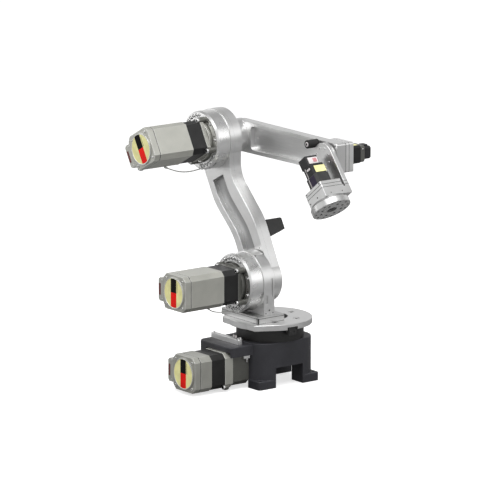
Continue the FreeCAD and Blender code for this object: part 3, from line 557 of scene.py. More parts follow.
# black print, and the painted shade in screw sockets, hole mouths and round screw heads
BLACK_PRINT_AND_SHADE = moulded("black_print", (0.004, 0.004, 0.004), (0.01, 0.01, 0.01), 0.6, 2600, 0.1)
WHITE_PRINT = moulded("white_print", (0.72, 0.68, 0.68), (0.8, 0.8, 0.8), 0.45, 2600)
BRIGHT = milled("zinc_plate", 0.93, 0.34, stretch=(1, 1, 1))
PINK_PRINT = moulded("pink_print", (0.60, 0.25, 0.27), (0.7, 0.4, 0.4), 0.42, 2600)
VIOLET_BLACK = moulded("violet_black_panel", (0.018, 0.010, 0.035), (0.1, 0.08, 0.14), 0.35)
TURNED_HUB = turned("turned_hub_cover", SHOULDER, Y, 0.74)
TURNED_ELBOW = turned("turned_elbow_cover", ELBOW, Y, 0.74)
DARK_SCREW = cast("black_oxide_screw", 0.02, 0.12, 0.36, coarse=1500)
PLUG_RED = moulded("red_plug_end", (0.14, 0.03, 0.03), (0.3, 0.1, 0.1), 0.42)

SLOT_FINISH = {
    "machined_aluminium": ALUMINIUM, "black_casting": CAST_BLACK, "black_steel": BLACKED_STEEL,
    "motor_grey": MOTOR_GREY, "stator_black": MOTOR_BLACK, "steel": ALUMINIUM,
    "black_plastic": BLACK_PLASTIC, "dark_rubber": RUBBER, "lead_sheath": SHEATH,
}
NODE_FINISH = {
    "lower_arm_link": ARM_ALUMINIUM,
    "forearm_link": FOREARM_ALUMINIUM,
    "riser_plate": RISER_ALUMINIUM,
    "shoulder_bracket": BRACKET_ALUMINIUM,
    "shoulder_reducer": turned("turned_shoulder_reducer", SHOULDER, Y, 0.9),
    "elbow_reducer": turned("turned_elbow_reducer", ELBOW, Y, 0.9),
    "slewing_ring": turned("turned_slewing_ring", (0, 0, 0), Z, 0.06, 0.45),
    "roll_reducer": turned("turned_roll_neck", WRIST, TOOL_AXIS, 0.36, 0.55),
    "tool_flange": turned("turned_tool_flange", WRIST, TOOL_AXIS, 0.74),
    "roll_motor_body": ROLL_BLACK,
    "roll_motor_rear": BLACK_PLASTIC,
    "shoulder_motor_flange": FLANGE_ALLOY,
    "elbow_motor_flange": die_cast("elbow_flange_alloy", 0.36, 0.42),
    "base_gearhead": FLANGE_ALLOY,
    "pitch_motor_cap": FLANGE_ALLOY,
    "wrist_bracket": PLATE_STACK,
    "roll_gear_plate": PLATE_STACK,
    "roll_motor_plate": PLATE_STACK,
    "pitch_gear_plate": CASE_STACK,
    "pitch_gear_cover": CASE_STACK,
}
# the base motor's lower level is painted shade under the turntable plate
HOUSING_LEVEL = {"shoulder": 0.46, "elbow": 0.46, "base": 0.4}
for label, level in HOUSING_LEVEL.items():
    housing = f"{label}_motor_housing"
    NODE_FINISH[housing] = die_cast(f"{label}_motor_grey", level, 0.34, seam=low(housing)[1] + COVER_SEAM)


def dress_cad_nodes():
    """Give every CAD node its own finish, or that of its slot."""
    for name, item in frame["nodes"].items():
        slot = item.data.materials[0].name.split(".")[0]
        item.data.materials.clear()
        item.data.materials.append(NODE_FINISH.get(name) or SLOT_FINISH[slot])


dress_cad_nodes()


# ---------------- screws

def screws(name, body, seat, spots, size, columns=12, finish=BRIGHT, sink=0.5 * MM):
    """A piece of socket-head screws at spots of a seat; the size is a head's radius and height."""
    heads = screw_heads(seat, np.array(spots, float), *size, columns, sink)
    # the sockets' dark finish is painted shade
    return piece(name, body, "steel", finish, heads, dark=BLACK_PRINT_AND_SHADE)


# ---------------- 85 mm motors

MOTOR_HALF = (high("shoulder_motor_housing") - low("shoulder_motor_housing"))[0] / 2
CAP_HEIGHT, CAP_INSET = 3 * MM, 4.5 * MM
CAP_RIM, CAP_RECESS = 1.8 * MM, 1.0 * MM
CAP_RADIUS = MOTOR_HALF - CAP_INSET - CAP_RIM
BRIGHT_RIM, RIM_SLIP = 1.3 * MM, 0.05 * MM
STRIP_HALF, STRIP_MARGIN, STRIP_SPLIT = 10.5 * MM, 0.5 * MM, 1.0 * MM
LINE_GAP, LINE_UP = 3.2 * MM, 14 * MM
COVER_SCREW, COVER_SCREW_SIZE = 31.6 * MM, (2.9 * MM, 2.0 * MM)
LUG_SPOT, LUG_RADIUS, LUG_BEVEL = 38.3 * MM, 7.2 * MM, 0.8 * MM
BASE_LUG_DEPTH, LUG_BOLT_SIZE = 8.5 * MM, (5.4 * MM, 4.6 * MM)
PLUG_END_INSET, PLUG_SCREW_INSET, PLUG_SCREW_SIZE = 5.2 * MM, 5 * MM, (1.9 * MM, 1.2 * MM)
FITTING_SPOT, FITTING_SETBACK = in_mm((-35.5, -37.5)), 9 * MM
FITTING_PROFILE = in_mm((0, -6), (5.6, -6), (5.6, 2), (4.6, 3), (4.6, 5), (3.8, 5.6), (2.2, 5.6), (2.0, 4),
                        (0, 3.6))
FITTING_SHADE_ROW = 6
MOTORS = {
    "shoulder": ("turntable", SHOULDER, 0.0),
    "elbow": ("lower_arm", ELBOW, ARM_LEAN),
    "base": ("base", middle("base_motor_stator"), 0.0),
}


def half_turned(seat):
    """The seat turned half round its outward axis."""
    return Seat(seat.origin, -seat.right, -seat.up)


def arc_ended(half_width, radius, near, steps=9):
    """Right and up of a strip from a straight side at up = near to the arc sqrt(radius^2 - right^2)."""
    right = np.linspace(half_width, -half_width, steps)
    return (np.concatenate([[-half_width, half_width], right]),
            np.concatenate([[near, near], np.sqrt(radius ** 2 - right ** 2)]))


def motor_cap(label, body, axis, lean):
    """Bright rim, printed disc and the two-coloured strip in the recess of the cap at a motor's rear."""
    cap = facing_minus_y(with_y(axis, low(f"{label}_motor_housing")[1] + CAP_RECESS), lean)
    disc_radius = CAP_RADIUS - BRIGHT_RIM
    piece(f"{label}_cap_rim", body, "steel", BRIGHT,
          washer(cap, disc_radius, CAP_RADIUS - RIM_SLIP, depth=0.95 * MM, bevel=0.3 * MM, start=-0.3 * MM))
    piece(f"{label}_cap_disc", body, "motor_grey", CREAM,
          disc(cap, disc_radius, depth=0.3 * MM, bevel=0.1 * MM, start=-0.3 * MM))
    for name, seat, finish, near in (("black", cap, BLACK_PRINT_AND_SHADE, STRIP_SPLIT),
                                     ("red", half_turned(cap), RED, -STRIP_SPLIT)):
        edge = arc_ended(STRIP_HALF, disc_radius - STRIP_MARGIN, near)
        piece(f"{label}_cap_strip_{name}", body, "motor_grey", finish,
              lofted(seat, [(*edge, 0.1 * MM), (*edge, 0.5 * MM)]))
    line = cap.moved(right=STRIP_HALF + LINE_GAP, up=LINE_UP)
    piece(f"{label}_cap_line", body, "motor_grey", BLACK_PRINT_AND_SHADE,
          block(line, 0.6 * MM, 12 * MM, depth=0.45 * MM, corner=0.3 * MM, bevel=0.1 * MM, start=0.1 * MM))


def motor_fasteners(label, body, axis, lean):
    """Cover screws at the rear, and bolts in the flange's lugs: four, or the lower two on the base."""
    cover = facing_minus_y(with_y(axis, low(f"{label}_motor_housing")[1] + CAP_HEIGHT), lean)
    screws(f"{label}_cover_screws", body, cover, corners_of(COVER_SCREW), COVER_SCREW_SIZE)
    front = low(f"{label}_motor_flange")[1]
    face = facing_minus_y(with_y(axis, front), lean)
    spots, depth = corners_of(LUG_SPOT)[2:], BASE_LUG_DEPTH
    if label != "base":
        spots, depth = corners_of(LUG_SPOT), low(f"{label}_reducer")[1] - front
    lug = [(0, -depth), (LUG_RADIUS, -depth), (LUG_RADIUS, -LUG_BEVEL), (LUG_RADIUS - LUG_BEVEL, 0), (0, 0)]
    piece(f"{label}_flange_lugs", body, "motor_grey", FLANGE_ALLOY, revolved(face, lug, 32, spots))
    screws(f"{label}_flange_bolts", body, face, spots, LUG_BOLT_SIZE, 24)


def motor_plug(label, body, axis, lean):
    """Red end and latch screws of the plug box on a motor's side."""
    seat = facing_minus_y(axis, lean)
    start, end = reach(f"{label}_motor_plug", seat)
    half_up = (end[1] - start[1]) / 2
    front = seat.moved(right=start[0] + PLUG_END_INSET, up=start[1] + half_up, out=end[2])
    piece(f"{label}_plug_end", body, "motor_grey", PLUG_RED,
          block(front, 3.2 * MM, 14 * MM, depth=0.6 * MM, corner=1.2 * MM, bevel=0.2 * MM, start=-0.2 * MM))
    latch = seat.moved(right=end[0] - PLUG_SCREW_INSET, up=start[1] + half_up, out=end[2])
    spots = np.array([[0, 1], [0, -1]]) * (half_up - PLUG_SCREW_INSET)
    screws(f"{label}_plug_screws", body, latch, spots, PLUG_SCREW_SIZE)


def rear_fitting(label, body, axis, lean):
    """Round cable fitting at the lower outer corner of the rear cover, its mouth in painted shade."""
    corner = facing_minus_y(with_y(axis, low(f"{label}_motor_housing")[1] + FITTING_SETBACK), lean)
    piece(f"{label}_rear_fitting", body, "steel", BRIGHT,
          (revolved(corner, FITTING_PROFILE, 32, FITTING_SPOT), FITTING_SHADE_ROW), dark=BLACK_PRINT_AND_SHADE)


ROW_STEP = 11.5
SCREW_ROWS = np.concatenate([start + ROW_STEP * np.arange(6) for start in (64, 244)])
SIDE_SCREWS = np.array([-20, 20, 160, 200])
ROW_CIRCLE, SIDE_CIRCLE, TAPPED_CIRCLE = 61.0 * MM, 58.5 * MM, 57.0 * MM
REDUCER_SCREW_SIZE, TAPPED_RADIUS, TAPPED_TURN = (3.3 * MM, 2.6 * MM), 1.9 * MM, 9
SCREW_SHADE_RING = in_mm((3.1, -0.2), (4.2, -0.2), (4.1, 0.12), (3.1, 0.12), (3.1, -0.2))


def reducer_screws(label, body, axis, lean):
    """Two close rows of six screws at the top and foot of the reducer's face, and pairs at its sides."""
    face = facing_minus_y(with_y(axis, low(f"{label}_reducer")[1]), lean)
    spots = np.concatenate([ring_of_spots(ROW_CIRCLE, SCREW_ROWS), ring_of_spots(SIDE_CIRCLE, SIDE_SCREWS)])
    screws(f"{label}_reducer_screws", body, face, spots, REDUCER_SCREW_SIZE)
    # dark rings of painted shade round the screw heads
    piece(f"{label}_screw_shade_rings", body, "black_steel", BLACK_PRINT_AND_SHADE, revolved(face, SCREW_SHADE_RING, 16, spots))
    tapped = np.concatenate([SCREW_ROWS[:-1] + ROW_STEP / 2, SIDE_SCREWS + TAPPED_TURN])
    # dark eyes of painted shade at the tapped holes
    piece(f"{label}_reducer_bores", body, "steel", BLACK_PRINT_AND_SHADE,
          bores(face, ring_of_spots(TAPPED_CIRCLE, tapped), TAPPED_RADIUS))


for label, (body, axis, lean) in MOTORS.items():
    motor_cap(label, body, axis, lean)
    motor_fasteners(label, body, axis, lean)
    motor_plug(label, body, axis, lean)
for label in ("shoulder", "elbow"):
    reducer_screws(label, *MOTORS[label])
    rear_fitting(label, *MOTORS[label])


# ---------------- leads

LEAD_DIAMETER = 3 * MM
# each run is measured from the joint's axis at the reducer's face
SHOULDER_RUN = in_mm((26, -92, -44), (20, -80, -53), (14, -56, -60), (10, -28, -64), (8, 0, -65))
ELBOW_RUN = in_mm((-15, -90, -57), (-8, -72, -66), (0, -48, -71), (6, -24, -70), (8, 0, -66))
GLAND_PROFILE = in_mm((0, -4), (2.8, -4), (2.8, 1.0), (2.2, 1.6), (1.8, 6), (1.5, 6.4), (0, 6.4))
FERRULE_PROFILE = in_mm((0, -0.5), (3.6, -0.5), (3.6, 2.4), (2.8, 3.2), (1.9, 3.6), (1.7, 5.5), (0, 5.5))
STEEP = 0.9


def facing(direction, origin):
    """A seat whose outward direction is the one given."""
    out = np.array(direction, float) / np.linalg.norm(direction)
    right = np.cross(out, Z if abs(out[2]) < STEEP else X)
    right /= np.linalg.norm(right)
    return Seat(origin, right, np.cross(out, right))


def lead(label, body, run, origin):
    """A thin lead on one smooth spline, with a gland at the motor and a ferrule at the reducer."""
    points = run + origin
    curve = bpy.data.curves.new(f"{label}_lead", "CURVE")
    curve.dimensions = "3D"
    curve.bevel_depth, curve.bevel_resolution, curve.use_fill_caps = LEAD_DIAMETER / 2, 3, True
    spline = curve.splines.new("NURBS")
    spline.points.add(len(points) - 1)
    spline.points.foreach_set("co", np.column_stack([points, np.ones(len(points))]).ravel())
    spline.order_u, spline.use_endpoint_u, spline.resolution_u = 3, True, 16
    curve.materials.append(SHEATH)
    item = placed(f"{label}_lead", curve)
    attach(item, body)
    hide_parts(f"{label}_motor_lead")
    piece(f"{label}_lead_gland", body, "lead_sheath", SHEATH,
          revolved(facing(points[1] - points[0], points[0]), GLAND_PROFILE, 24))
    piece(f"{label}_lead_ferrule", body, "steel", BRIGHT,
          revolved(facing(points[-2] - points[-1], points[-1]), FERRULE_PROFILE, 24))


lead("shoulder", "turntable", SHOULDER_RUN, with_y(SHOULDER, low("shoulder_reducer")[1]))
lead("elbow", "lower_arm", ELBOW_RUN, with_y(ELBOW, low("elbow_reducer")[1]))


# ---------------- base and turntable

PLATE_TOP, COUNTERBORE_DEPTH = high("turntable_plate")[2], 8 * MM
PLATE_BOLT_CIRCLE, PLATE_BOLT_SIZE = high("slewing_ring")[0] - 14 * MM, (6.3 * MM, 6.6 * MM)
PLATE_BOLTS = 33 + 60 * np.arange(6)
RISER_SCREW_INSET, RISER_SCREW_STEP, RISER_SCREW_SIZE = 9 * MM, 38 * MM, (4.2 * MM, 3.4 * MM)
CORNER_PIN_INSET, CORNER_PIN_RADIUS = 0.8 * MM, 1.8 * MM
STOP_SCREW_DROP, STOP_SCREW_SIZE = 2 * MM, (2.4 * MM, 1.6 * MM)
HEAD_EYE_TURN, HEAD_EYE_SETBACK = math.radians(64.7), 5 * MM
FOOT_BORE_RISE = 5.5 * MM


def turntable_details():
    """Bolts in the counterbores, screws and a corner pin on the riser, and the screws of the stop."""
    sunk = Seat([0, 0, PLATE_TOP - COUNTERBORE_DEPTH], X, Y)
    spots = ring_of_spots(PLATE_BOLT_CIRCLE, PLATE_BOLTS)
    screws("turntable_bolts", "turntable", sunk, spots, PLATE_BOLT_SIZE, 24)
    start, end = low("riser_plate"), high("riser_plate")
    left, front, back = start[0] + RISER_SCREW_INSET, start[1] + RISER_SCREW_INSET, end[1] - RISER_SCREW_INSET
    spots = [(left, front), (left, back), (start[0] + RISER_SCREW_STEP, front)]
    screws("riser_screws", "turntable", Seat([0, 0, end[2]], X, Y), spots, RISER_SCREW_SIZE, 18)
    corner = Seat([end[0] - CORNER_PIN_INSET, start[1] + CORNER_PIN_INSET, start[2]], X, Y)
    piece("riser_corner_pin", "turntable", "black_steel", BLACKED_STEEL,
          disc(corner, CORNER_PIN_RADIUS, depth=13.5 * MM, bevel=0.5 * MM, start=1.0 * MM, columns=24))
    centre = middle("turntable_stop")
    stop = Seat([high("turntable_stop")[0], centre[1], centre[2] - STOP_SCREW_DROP], Y, Z)
    screws("stop_screws", "turntable", stop, in_mm((-6, 0), (6, 0)), STOP_SCREW_SIZE, finish=DARK_SCREW)


def bracket_details():
    """Painted shade of an eye in the rim of the bracket's round head, and of two small bores in its foot."""
    start, end = low("shoulder_bracket"), high("shoulder_bracket")
    radial = np.array([math.cos(HEAD_EYE_TURN), 0, math.sin(HEAD_EYE_TURN)])
    tangent = np.array([-math.sin(HEAD_EYE_TURN), 0, math.cos(HEAD_EYE_TURN)])
    place = with_y(SHOULDER + (end[0] - SHOULDER[0]) * radial, start[1] + HEAD_EYE_SETBACK)
    piece("bracket_head_eye", "turntable", "black_steel", BLACK_PRINT_AND_SHADE,
          bores(Seat(place, Y, tangent), [(0.0, 0.0)], 2.2 * MM))
    foot = Seat([end[0], middle("shoulder_bracket")[1], start[2] + FOOT_BORE_RISE], Y, Z)
    piece("bracket_foot_bores", "turntable", "black_steel", BLACK_PRINT_AND_SHADE,
          bores(foot, in_mm((-10.5, 0), (10.5, 0)), 1.3 * MM))


RAIL_END_INSET, RAIL_FAR_INSET = 5 * MM, 6 * MM
RAIL_PIN_SIZE, RAIL_SCREW_SIZE = (2.3 * MM, 4.2 * MM), (2.3 * MM, 2.4 * MM)
SWITCH_PIN_X, SWITCH_PIN_GAP, SHELF_DIP = -13 * MM, 4.5 * MM, 3.2 * MM
SWITCH_PIN = in_mm((0, -1), (2.1, -1), (2.1, 14.5), (1.5, 15.5), (0, 15.5))
CLAMP_Y, CLAMP_DROP = -100 * MM, 12 * MM
CLAMP_BOLT = in_mm((0, 0), (2.6, 0), (2.6, 3), (1.4, 3.6), (1.4, 9), (0, 9))


def base_details():
    """Pins and a screw on the rail, two switch pins behind it, and the clamp on the gearhead's side."""
    start, end = low("homing_rail"), high("homing_rail")
    rail_y = middle("homing_rail")[1]
    screws("rail_end_pins", "base", Seat([end[0] - RAIL_END_INSET, rail_y, end[2]], X, Y),
           in_mm((0, -3.4), (0, 3.4)), RAIL_PIN_SIZE, 18)
    screws("rail_far_screw", "base", Seat([start[0] + RAIL_FAR_INSET, rail_y, end[2]], X, Y),
           [(0, 0)], RAIL_SCREW_SIZE, 18)
    shelf = Seat([SWITCH_PIN_X, end[1] + SWITCH_PIN_GAP, high("base_casting")[2] - SHELF_DIP], X, Y)
    piece("switch_pins", "base", "steel", WHITE_PRINT,
          revolved(shelf, SWITCH_PIN, 20, in_mm((0, 0), (8.5, 0))))
    gear_side = high("base_gearhead")
    clamp = Seat([gear_side[0], CLAMP_Y, gear_side[2] - CLAMP_DROP], Y, Z)
    piece("gearhead_clamp", "base", "steel", BRIGHT,
          block(clamp, 9 * MM, 5 * MM, depth=7 * MM, corner=1.2 * MM, bevel=0.8 * MM, start=-0.5 * MM))
    under = Seat(clamp.points(2 * MM, -5 * MM, 3.5 * MM), X, -Y)
    piece("clamp_bolt", "base", "steel", BRIGHT, revolved(under, CLAMP_BOLT, 20))


turntable_details()
bracket_details()
base_details()


# ---------------- arm and forearm

HUB_SCREW_SIZE, HUB_SCREW_TURN = (4.0 * MM, 3.0 * MM), 15
HUB_SCREWS = {"shoulder": (SHOULDER, 44 * MM, 8), "elbow": (ELBOW, 60 * MM, 12)}
HUB_COVER_RADIUS, ELBOW_COVER_RADIUS, COVER_HEIGHT = 32 * MM, 28 * MM, 3 * MM
ELBOW_SCREW_CIRCLE, ELBOW_SCREW_SIZE = 32.5 * MM, (2.8 * MM, 2.4 * MM)
PLUG_PROFILE = in_mm((0, -0.3), (2.6, -0.3), (2.4, 0.8), (1.4, 1.5), (0, 1.7))
BUMPER_BOLT_SIZE = (5.6 * MM, 0.8 * MM)


def arm_details():
    """Screws round both hubs and a cover on the side that faces the forearm, and the painted shade of a bore
    in front.
    """
    for name, (centre, radius, count) in HUB_SCREWS.items():
        hub = Seat(with_y(centre, ARM_BACK), -ARM_RIGHT, ARM_UP)
        spots = ring_of_spots(radius, np.arange(count) * 360 / count + HUB_SCREW_TURN)
        screws(f"arm_{name}_screws", "lower_arm", hub, spots, HUB_SCREW_SIZE, 18)
    hub = Seat(with_y(SHOULDER, ARM_BACK), -ARM_RIGHT, ARM_UP)
    piece("arm_shoulder_cover", "lower_arm", "steel", TURNED_HUB,
          disc(hub, HUB_COVER_RADIUS, COVER_HEIGHT, bevel=1.0 * MM, start=-0.5 * MM))
    front = Seat(with_y(SHOULDER, ARM_FRONT), ARM_RIGHT, ARM_UP)
    piece("arm_face_bore", "lower_arm", "black_steel", BLACK_PRINT_AND_SHADE,
          bores(front, in_mm((44.9, 62.6)), 1.4 * MM))


def forearm_details():
    """Elbow cover and its screws behind, painted shade of an end-block bore, pocket plug, and the bumper's
    bolt.
    """
    behind = Seat(with_y(ELBOW, FOREARM_BACK), -X, Z)
    piece("elbow_cover", "forearm", "steel", TURNED_ELBOW,
          disc(behind, ELBOW_COVER_RADIUS, COVER_HEIGHT, bevel=1.0 * MM, start=-0.5 * MM))
    spots = ring_of_spots(ELBOW_SCREW_CIRCLE, np.arange(8) * 45 + 22.5)
    screws("elbow_cover_screws", "forearm", behind, spots, ELBOW_SCREW_SIZE)
    face = facing_minus_y(with_y(WRIST, FOREARM_FRONT))
    piece("end_block_bore", "forearm", "black_steel", BLACK_PRINT_AND_SHADE, bores(face, in_mm((26.5, 29.5)), 1.7 * MM))
    pocket = facing_minus_y(with_y(ELBOW, FOREARM_FRONT + POCKET_DEPTH))
    piece("pocket_plug", "forearm", "steel", WHITE_PRINT,
          revolved(pocket, PLUG_PROFILE, 20, in_mm((62, 0.8))))
    bumper = facing_minus_y(with_y(middle("wrist_bumper"), low("wrist_bumper")[1]))
    screws("bumper_bolt", "forearm", bumper, [(0, 0)], BUMPER_BOLT_SIZE, 24, WHITE_PRINT, sink=0.3 * MM)


CASE_SCREWS, CASE_SCREW_SIZE = corners_of(28.5 * MM, 30.5 * MM), (2.4 * MM, 2.0 * MM)
CAP_SCREW_RISE, CAP_SCREW_SIZE = 12 * MM, (1.9 * MM, 1.4 * MM)
PITCH_LABEL_SHIFT = 1 * MM


def pitch_drive_details():
    """Case screws, label, cap screw and small connector of the wrist's pitch motor."""
    behind = Seat(with_y(WRIST, high("pitch_gear_cover")[1]), -X, Z)
    screws("pitch_case_screws", "forearm", behind, CASE_SCREWS, CASE_SCREW_SIZE)
    top = Seat([WRIST[0], middle("pitch_motor_stator")[1] + PITCH_LABEL_SHIFT, high("pitch_motor_stator")[2]],
               X, Y)
    piece("pitch_motor_label", "forearm", "black_plastic", CREAM,
          block(top, 11 * MM, 13 * MM, depth=0.4 * MM, corner=1 * MM, bevel=0.1 * MM, start=-0.2 * MM))
    side = Seat([high("pitch_motor_cap")[0], middle("pitch_motor_cap")[1], WRIST[2] + CAP_SCREW_RISE], Y, Z)
    screws("pitch_cap_screw", "forearm", side, [(0, 0)], CAP_SCREW_SIZE)
    lid = Seat([WRIST[0], middle("pitch_motor_encoder")[1], high("pitch_motor_encoder")[2]], X, Y)
    piece("pitch_encoder_connector", "forearm", "black_plastic", BLACK_PLASTIC,
          block(lid, 9 * MM, 6 * MM, depth=4 * MM, corner=1 * MM, bevel=0.5 * MM, start=-0.5 * MM))


arm_details()
forearm_details()
pitch_drive_details()


# ---------------- wrist and tool

BRACKET_FRONT = WRIST_FACE.moved(out=reach("wrist_bracket", WRIST_FACE)[1][2])
BRACKET_HEAD_FACE, HEAD_SCREW_CIRCLE, HEAD_SCREW_SIZE = -38 * MM, 23.5 * MM, (2.2 * MM, 0.9 * MM)
HEAD_SCREWS = np.arange(8) * 45 - 9
# bores by their distance forward of the wrist and back along the tool's axis
CASE_BORES = in_mm((-28.4, -99.5), (3.8, -99.5), (-28.4, -75.5), (28.4, -75.5))
FOOT_BORES = in_mm((-10, -104), (23, -104))
RELIEF_BORE = in_mm((35, -91))
STRIP_SHIFT, STRIP_WIDTH = -8 * MM, 0.7 * MM
# circle, count and radius of the tool flange's two sets of holes
FLANGE_HOLES = {"tool": (27 * MM, 8, 2.45 * MM), "rim": (39 * MM, 12, 1.75 * MM)}
HOLE_FOOT, HOLE_TOP = -1.6 * MM, -0.5 * MM
MOUTH_LIP, MOUTH_WIDTH, MOUTH_CHAMFER, MOUTH_LIFT = 0.2 * MM, 0.9 * MM, 0.1 * MM, 0.05 * MM
BORE_PLUG = in_mm((0, -9), (12.4, -9), (12.4, -4), (9, -4), (8, -6), (4, -6), (3.4, -3.4), (0, -3.4))


def on(seat, node, right=0.0, up=0.0):
    """The seat on a node's outer face, at its middle plus an offset."""
    start, end = reach(node, seat)
    return seat.moved(right=(start[0] + end[0]) / 2 + right, up=(start[1] + end[1]) / 2 + up, out=end[2])


def roll_motor_details():
    """Blank labels on the roll motor's front, and the connector, strips and panel on its side."""
    cover = on(WRIST_FACE, "roll_motor_cover", right=1.0 * MM)
    piece("cover_label", "wrist", "black_plastic", WHITE_PRINT,
          block(cover, 14 * MM, 8 * MM, depth=0.35 * MM, corner=0.8 * MM, bevel=0.1 * MM, start=-0.2 * MM))
    piece("cover_label_patch", "wrist", "black_plastic", PINK_PRINT,
          block(cover.moved(right=5 * MM), 5.5 * MM, 5 * MM, depth=0.5 * MM, corner=0.5 * MM, bevel=0.1 * MM))
    rear = on(WRIST_FACE, "roll_motor_rear", right=2 * MM, up=-1.5 * MM)
    piece("rear_label", "wrist", "motor_grey", CREAM,
          block(rear, 15.5 * MM, 8.5 * MM, depth=0.35 * MM, corner=0.8 * MM, bevel=0.1 * MM, start=-0.2 * MM))
    socket = on(WRIST_SIDE, "roll_motor_rear", right=4 * MM, up=4 * MM)
    piece("rear_connector", "wrist", "black_plastic", WHITE_PRINT,
          block(socket, 6 * MM, 2.2 * MM, depth=2.0 * MM, corner=0.8 * MM, start=-0.5 * MM))
    for name, node, half_length in (("body_edge_strip", "roll_motor_body", 13.5 * MM),
                                    ("cover_edge_strip", "roll_motor_rear", 12.5 * MM)):
        piece(name, "wrist", "black_plastic", WHITE_PRINT,
              block(on(WRIST_SIDE, node, right=STRIP_SHIFT), STRIP_WIDTH, half_length, depth=0.6 * MM,
                    corner=0.4 * MM, bevel=0.2 * MM, start=-0.2 * MM))
    panel = on(WRIST_SIDE, "roll_motor_body", right=5 * MM)
    piece("body_side_panel", "wrist", "black_plastic", VIOLET_BLACK,
          block(panel, 10 * MM, 12.5 * MM, depth=0.6 * MM, corner=1.5 * MM, bevel=0.3 * MM, start=-0.2 * MM))


def wrist_bores():
    """Painted shade of small bores in the side of the gear case and in the front of the bracket."""
    case = WRIST_SIDE.moved(out=reach("roll_gear_plate", WRIST_SIDE)[1][2])
    for name, seat, spots, radius in (("gear_case_screws", case, CASE_BORES, 1.7 * MM),
                                      ("foot_bores", BRACKET_FRONT, FOOT_BORES, 1.2 * MM),
                                      ("relief_bore", BRACKET_FRONT, RELIEF_BORE, 2.0 * MM)):
        piece(name, "wrist", "black_steel", BLACK_PRINT_AND_SHADE, bores(seat, spots, radius))


def bracket_head():
    """Eight screws on the bracket's round head."""
    spots = ring_of_spots(HEAD_SCREW_CIRCLE, HEAD_SCREWS)
    screws("bracket_head_screws", "wrist", WRIST_SIDE.moved(out=BRACKET_HEAD_FACE), spots, HEAD_SCREW_SIZE)


def tool_face():
    """Painted shade in the depths and mouths of the tool flange's two circles of holes, and the plug in its
    bore.
    """
    face = ALONG_TOOL.moved(out=reach("tool_flange", ALONG_TOOL)[1][2])
    for name, (circle_radius, count, radius) in FLANGE_HOLES.items():
        spots = ring_of_spots(circle_radius, np.arange(count) * 360 / count)
        shadow = [(0, HOLE_FOOT), (radius, HOLE_FOOT), (radius, HOLE_TOP), (0, HOLE_TOP)]
        piece(f"{name}_hole_shadows", "tool", "black_steel", BLACK_PRINT_AND_SHADE, revolved(face, shadow, 16, spots))
        # dark rings of painted shade at the holes' mouths
        edge = radius + MOUTH_WIDTH
        mouth = [(radius, -MOUTH_LIP), (edge, -MOUTH_LIP), (edge - MOUTH_CHAMFER, 0), (radius, 0),
                 (radius, -MOUTH_LIP)]
        piece(f"{name}_hole_mouths", "tool", "black_steel", BLACK_PRINT_AND_SHADE,
              revolved(face.moved(out=MOUTH_LIFT), mouth, 16, spots))
    piece("tool_bore_plug", "tool", "black_steel", BLACKED_STEEL, revolved(face, BORE_PLUG, 48))


roll_motor_details()
wrist_bores()
tool_face()
bracket_head()


# ---------------- studio and camera

VIEW_AZIMUTH, VIEW_ELEVATION = math.radians(52.3), math.radians(12.3)
VIEW_DISTANCE, LENS, SENSOR = 12.0, 367.2, 36.0
VIEW_AIM = in_mm((-34.26, -33.0, 311.75))[0]
FLOOR_REACH = 40.0
LAMP_TARGET = (0, -0.05, 0.3)
# place, width, height and power
LAMPS = {
    "overhead": ((0.7, -0.6, 2.9), 2.6, 2.6, 80),
    "front_left": ((-2.4, -2.2, 1.1), 2.0, 2.2, 20),
    "right": ((2.6, 1.0, 1.9), 1.8, 2.2, 16),
}


def camera():
    """A long lens at the height of the elbow, aimed a little below the middle of the arm."""
    sin_a, cos_a = math.sin(VIEW_AZIMUTH), math.cos(VIEW_AZIMUTH)
    sin_e, cos_e = math.sin(VIEW_ELEVATION), math.cos(VIEW_ELEVATION)
    back = np.array([sin_a * cos_e, -cos_a * cos_e, sin_e])
    lens = bpy.data.cameras.new("camera")
    lens.lens, lens.sensor_width = LENS, SENSOR
    lens.clip_start, lens.clip_end = 0.1, 100.0
    item = placed("camera", lens)
    item.location = VIEW_AIM + back * VIEW_DISTANCE
    item.rotation_euler = (math.pi / 2 - VIEW_ELEVATION, 0, VIEW_AZIMUTH)
    bpy.context.scene.camera = item


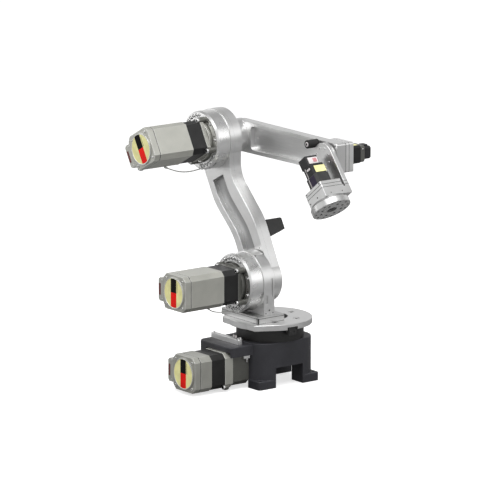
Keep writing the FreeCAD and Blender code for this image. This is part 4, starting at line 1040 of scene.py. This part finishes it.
def flat_floor(name, height, finish):
    """A square of floor, of which x and y run over a grid of two by two points."""
    across = np.array([-FLOOR_REACH, FLOOR_REACH])
    x, y = np.meshgrid(across, across, indexing="ij")
    corners = np.stack([x, y, np.full_like(x, height)], axis=-1).reshape(-1, 3)
    mesh = bpy.data.meshes.new(name)
    mesh.from_pydata(corners.tolist(), [], [(0, 2, 3, 1)])
    mesh.materials.append(finish)
    item = placed(name, mesh)
    return item


def softbox(name, place, width, height, power):
    """A rectangular soft light that faces the arm."""
    lamp = bpy.data.lights.new(name, "AREA")
    lamp.shape, lamp.size, lamp.size_y, lamp.energy = "RECTANGLE", width, height, power
    item = placed(name, lamp)
    item.location = place
    toward = np.array(LAMP_TARGET, float) - np.array(place, float)
    toward /= np.linalg.norm(toward)
    item.rotation_euler = (math.acos(-toward[2]), 0, math.atan2(toward[1], toward[0]) - math.pi / 2)


def sky(horizon, above, below):
    """A world that is brightest round the horizon, as in a studio with pale walls and a dark ceiling."""
    world = bpy.data.worlds.new("studio")
    world.use_nodes = True
    walls = Shading(world.node_tree)
    way = walls.node("ShaderNodeTexCoord", output="Generated")
    rise = walls.vector("DOT_PRODUCT", way, tuple(Z), output="Value")
    shade = walls.mix(rise.ramp(0.3, 0.75), grey(horizon), grey(above))
    shade = walls.mix(rise.ramp(-0.1, -0.6), shade, grey(below))
    walls.feed(world.node_tree.nodes["Background"], {"Color": shade, "Strength": 1.0})
    bpy.context.scene.world = world


def studio():
    """A floor that looks pale, a floor seen only in reflections, pale walls and three soft lamps."""
    pale = Finish("pale_floor", Roughness=0.9, Emission_Strength=1.0)
    pale.give(Base_Color=pale.mix(pale.noise(3).ramp(0.2, 0.8), grey(0.78), grey(0.8)),
              Emission_Color=grey(0.64))
    around = Finish("floor_seen_in_reflections", Roughness=0.9)
    far = around.radius((0, 0, 0), Z).ramp(0.25, 1.3)
    around.give(Base_Color=around.mix(far, grey(0.42), grey(0.62)))
    seen = flat_floor("floor", -0.5 * MM, pale.material)
    seen.visible_diffuse = seen.visible_glossy = False
    reflected = flat_floor("floor_in_reflections", -1 * MM, around.material)
    reflected.visible_camera = False
    sky(horizon=0.78, above=0.3, below=0.4)
    for name, (place, width, height, power) in LAMPS.items():
        softbox(name, place, width, height, power)
    bpy.context.scene.view_settings.view_transform = "Standard"


camera()
studio()
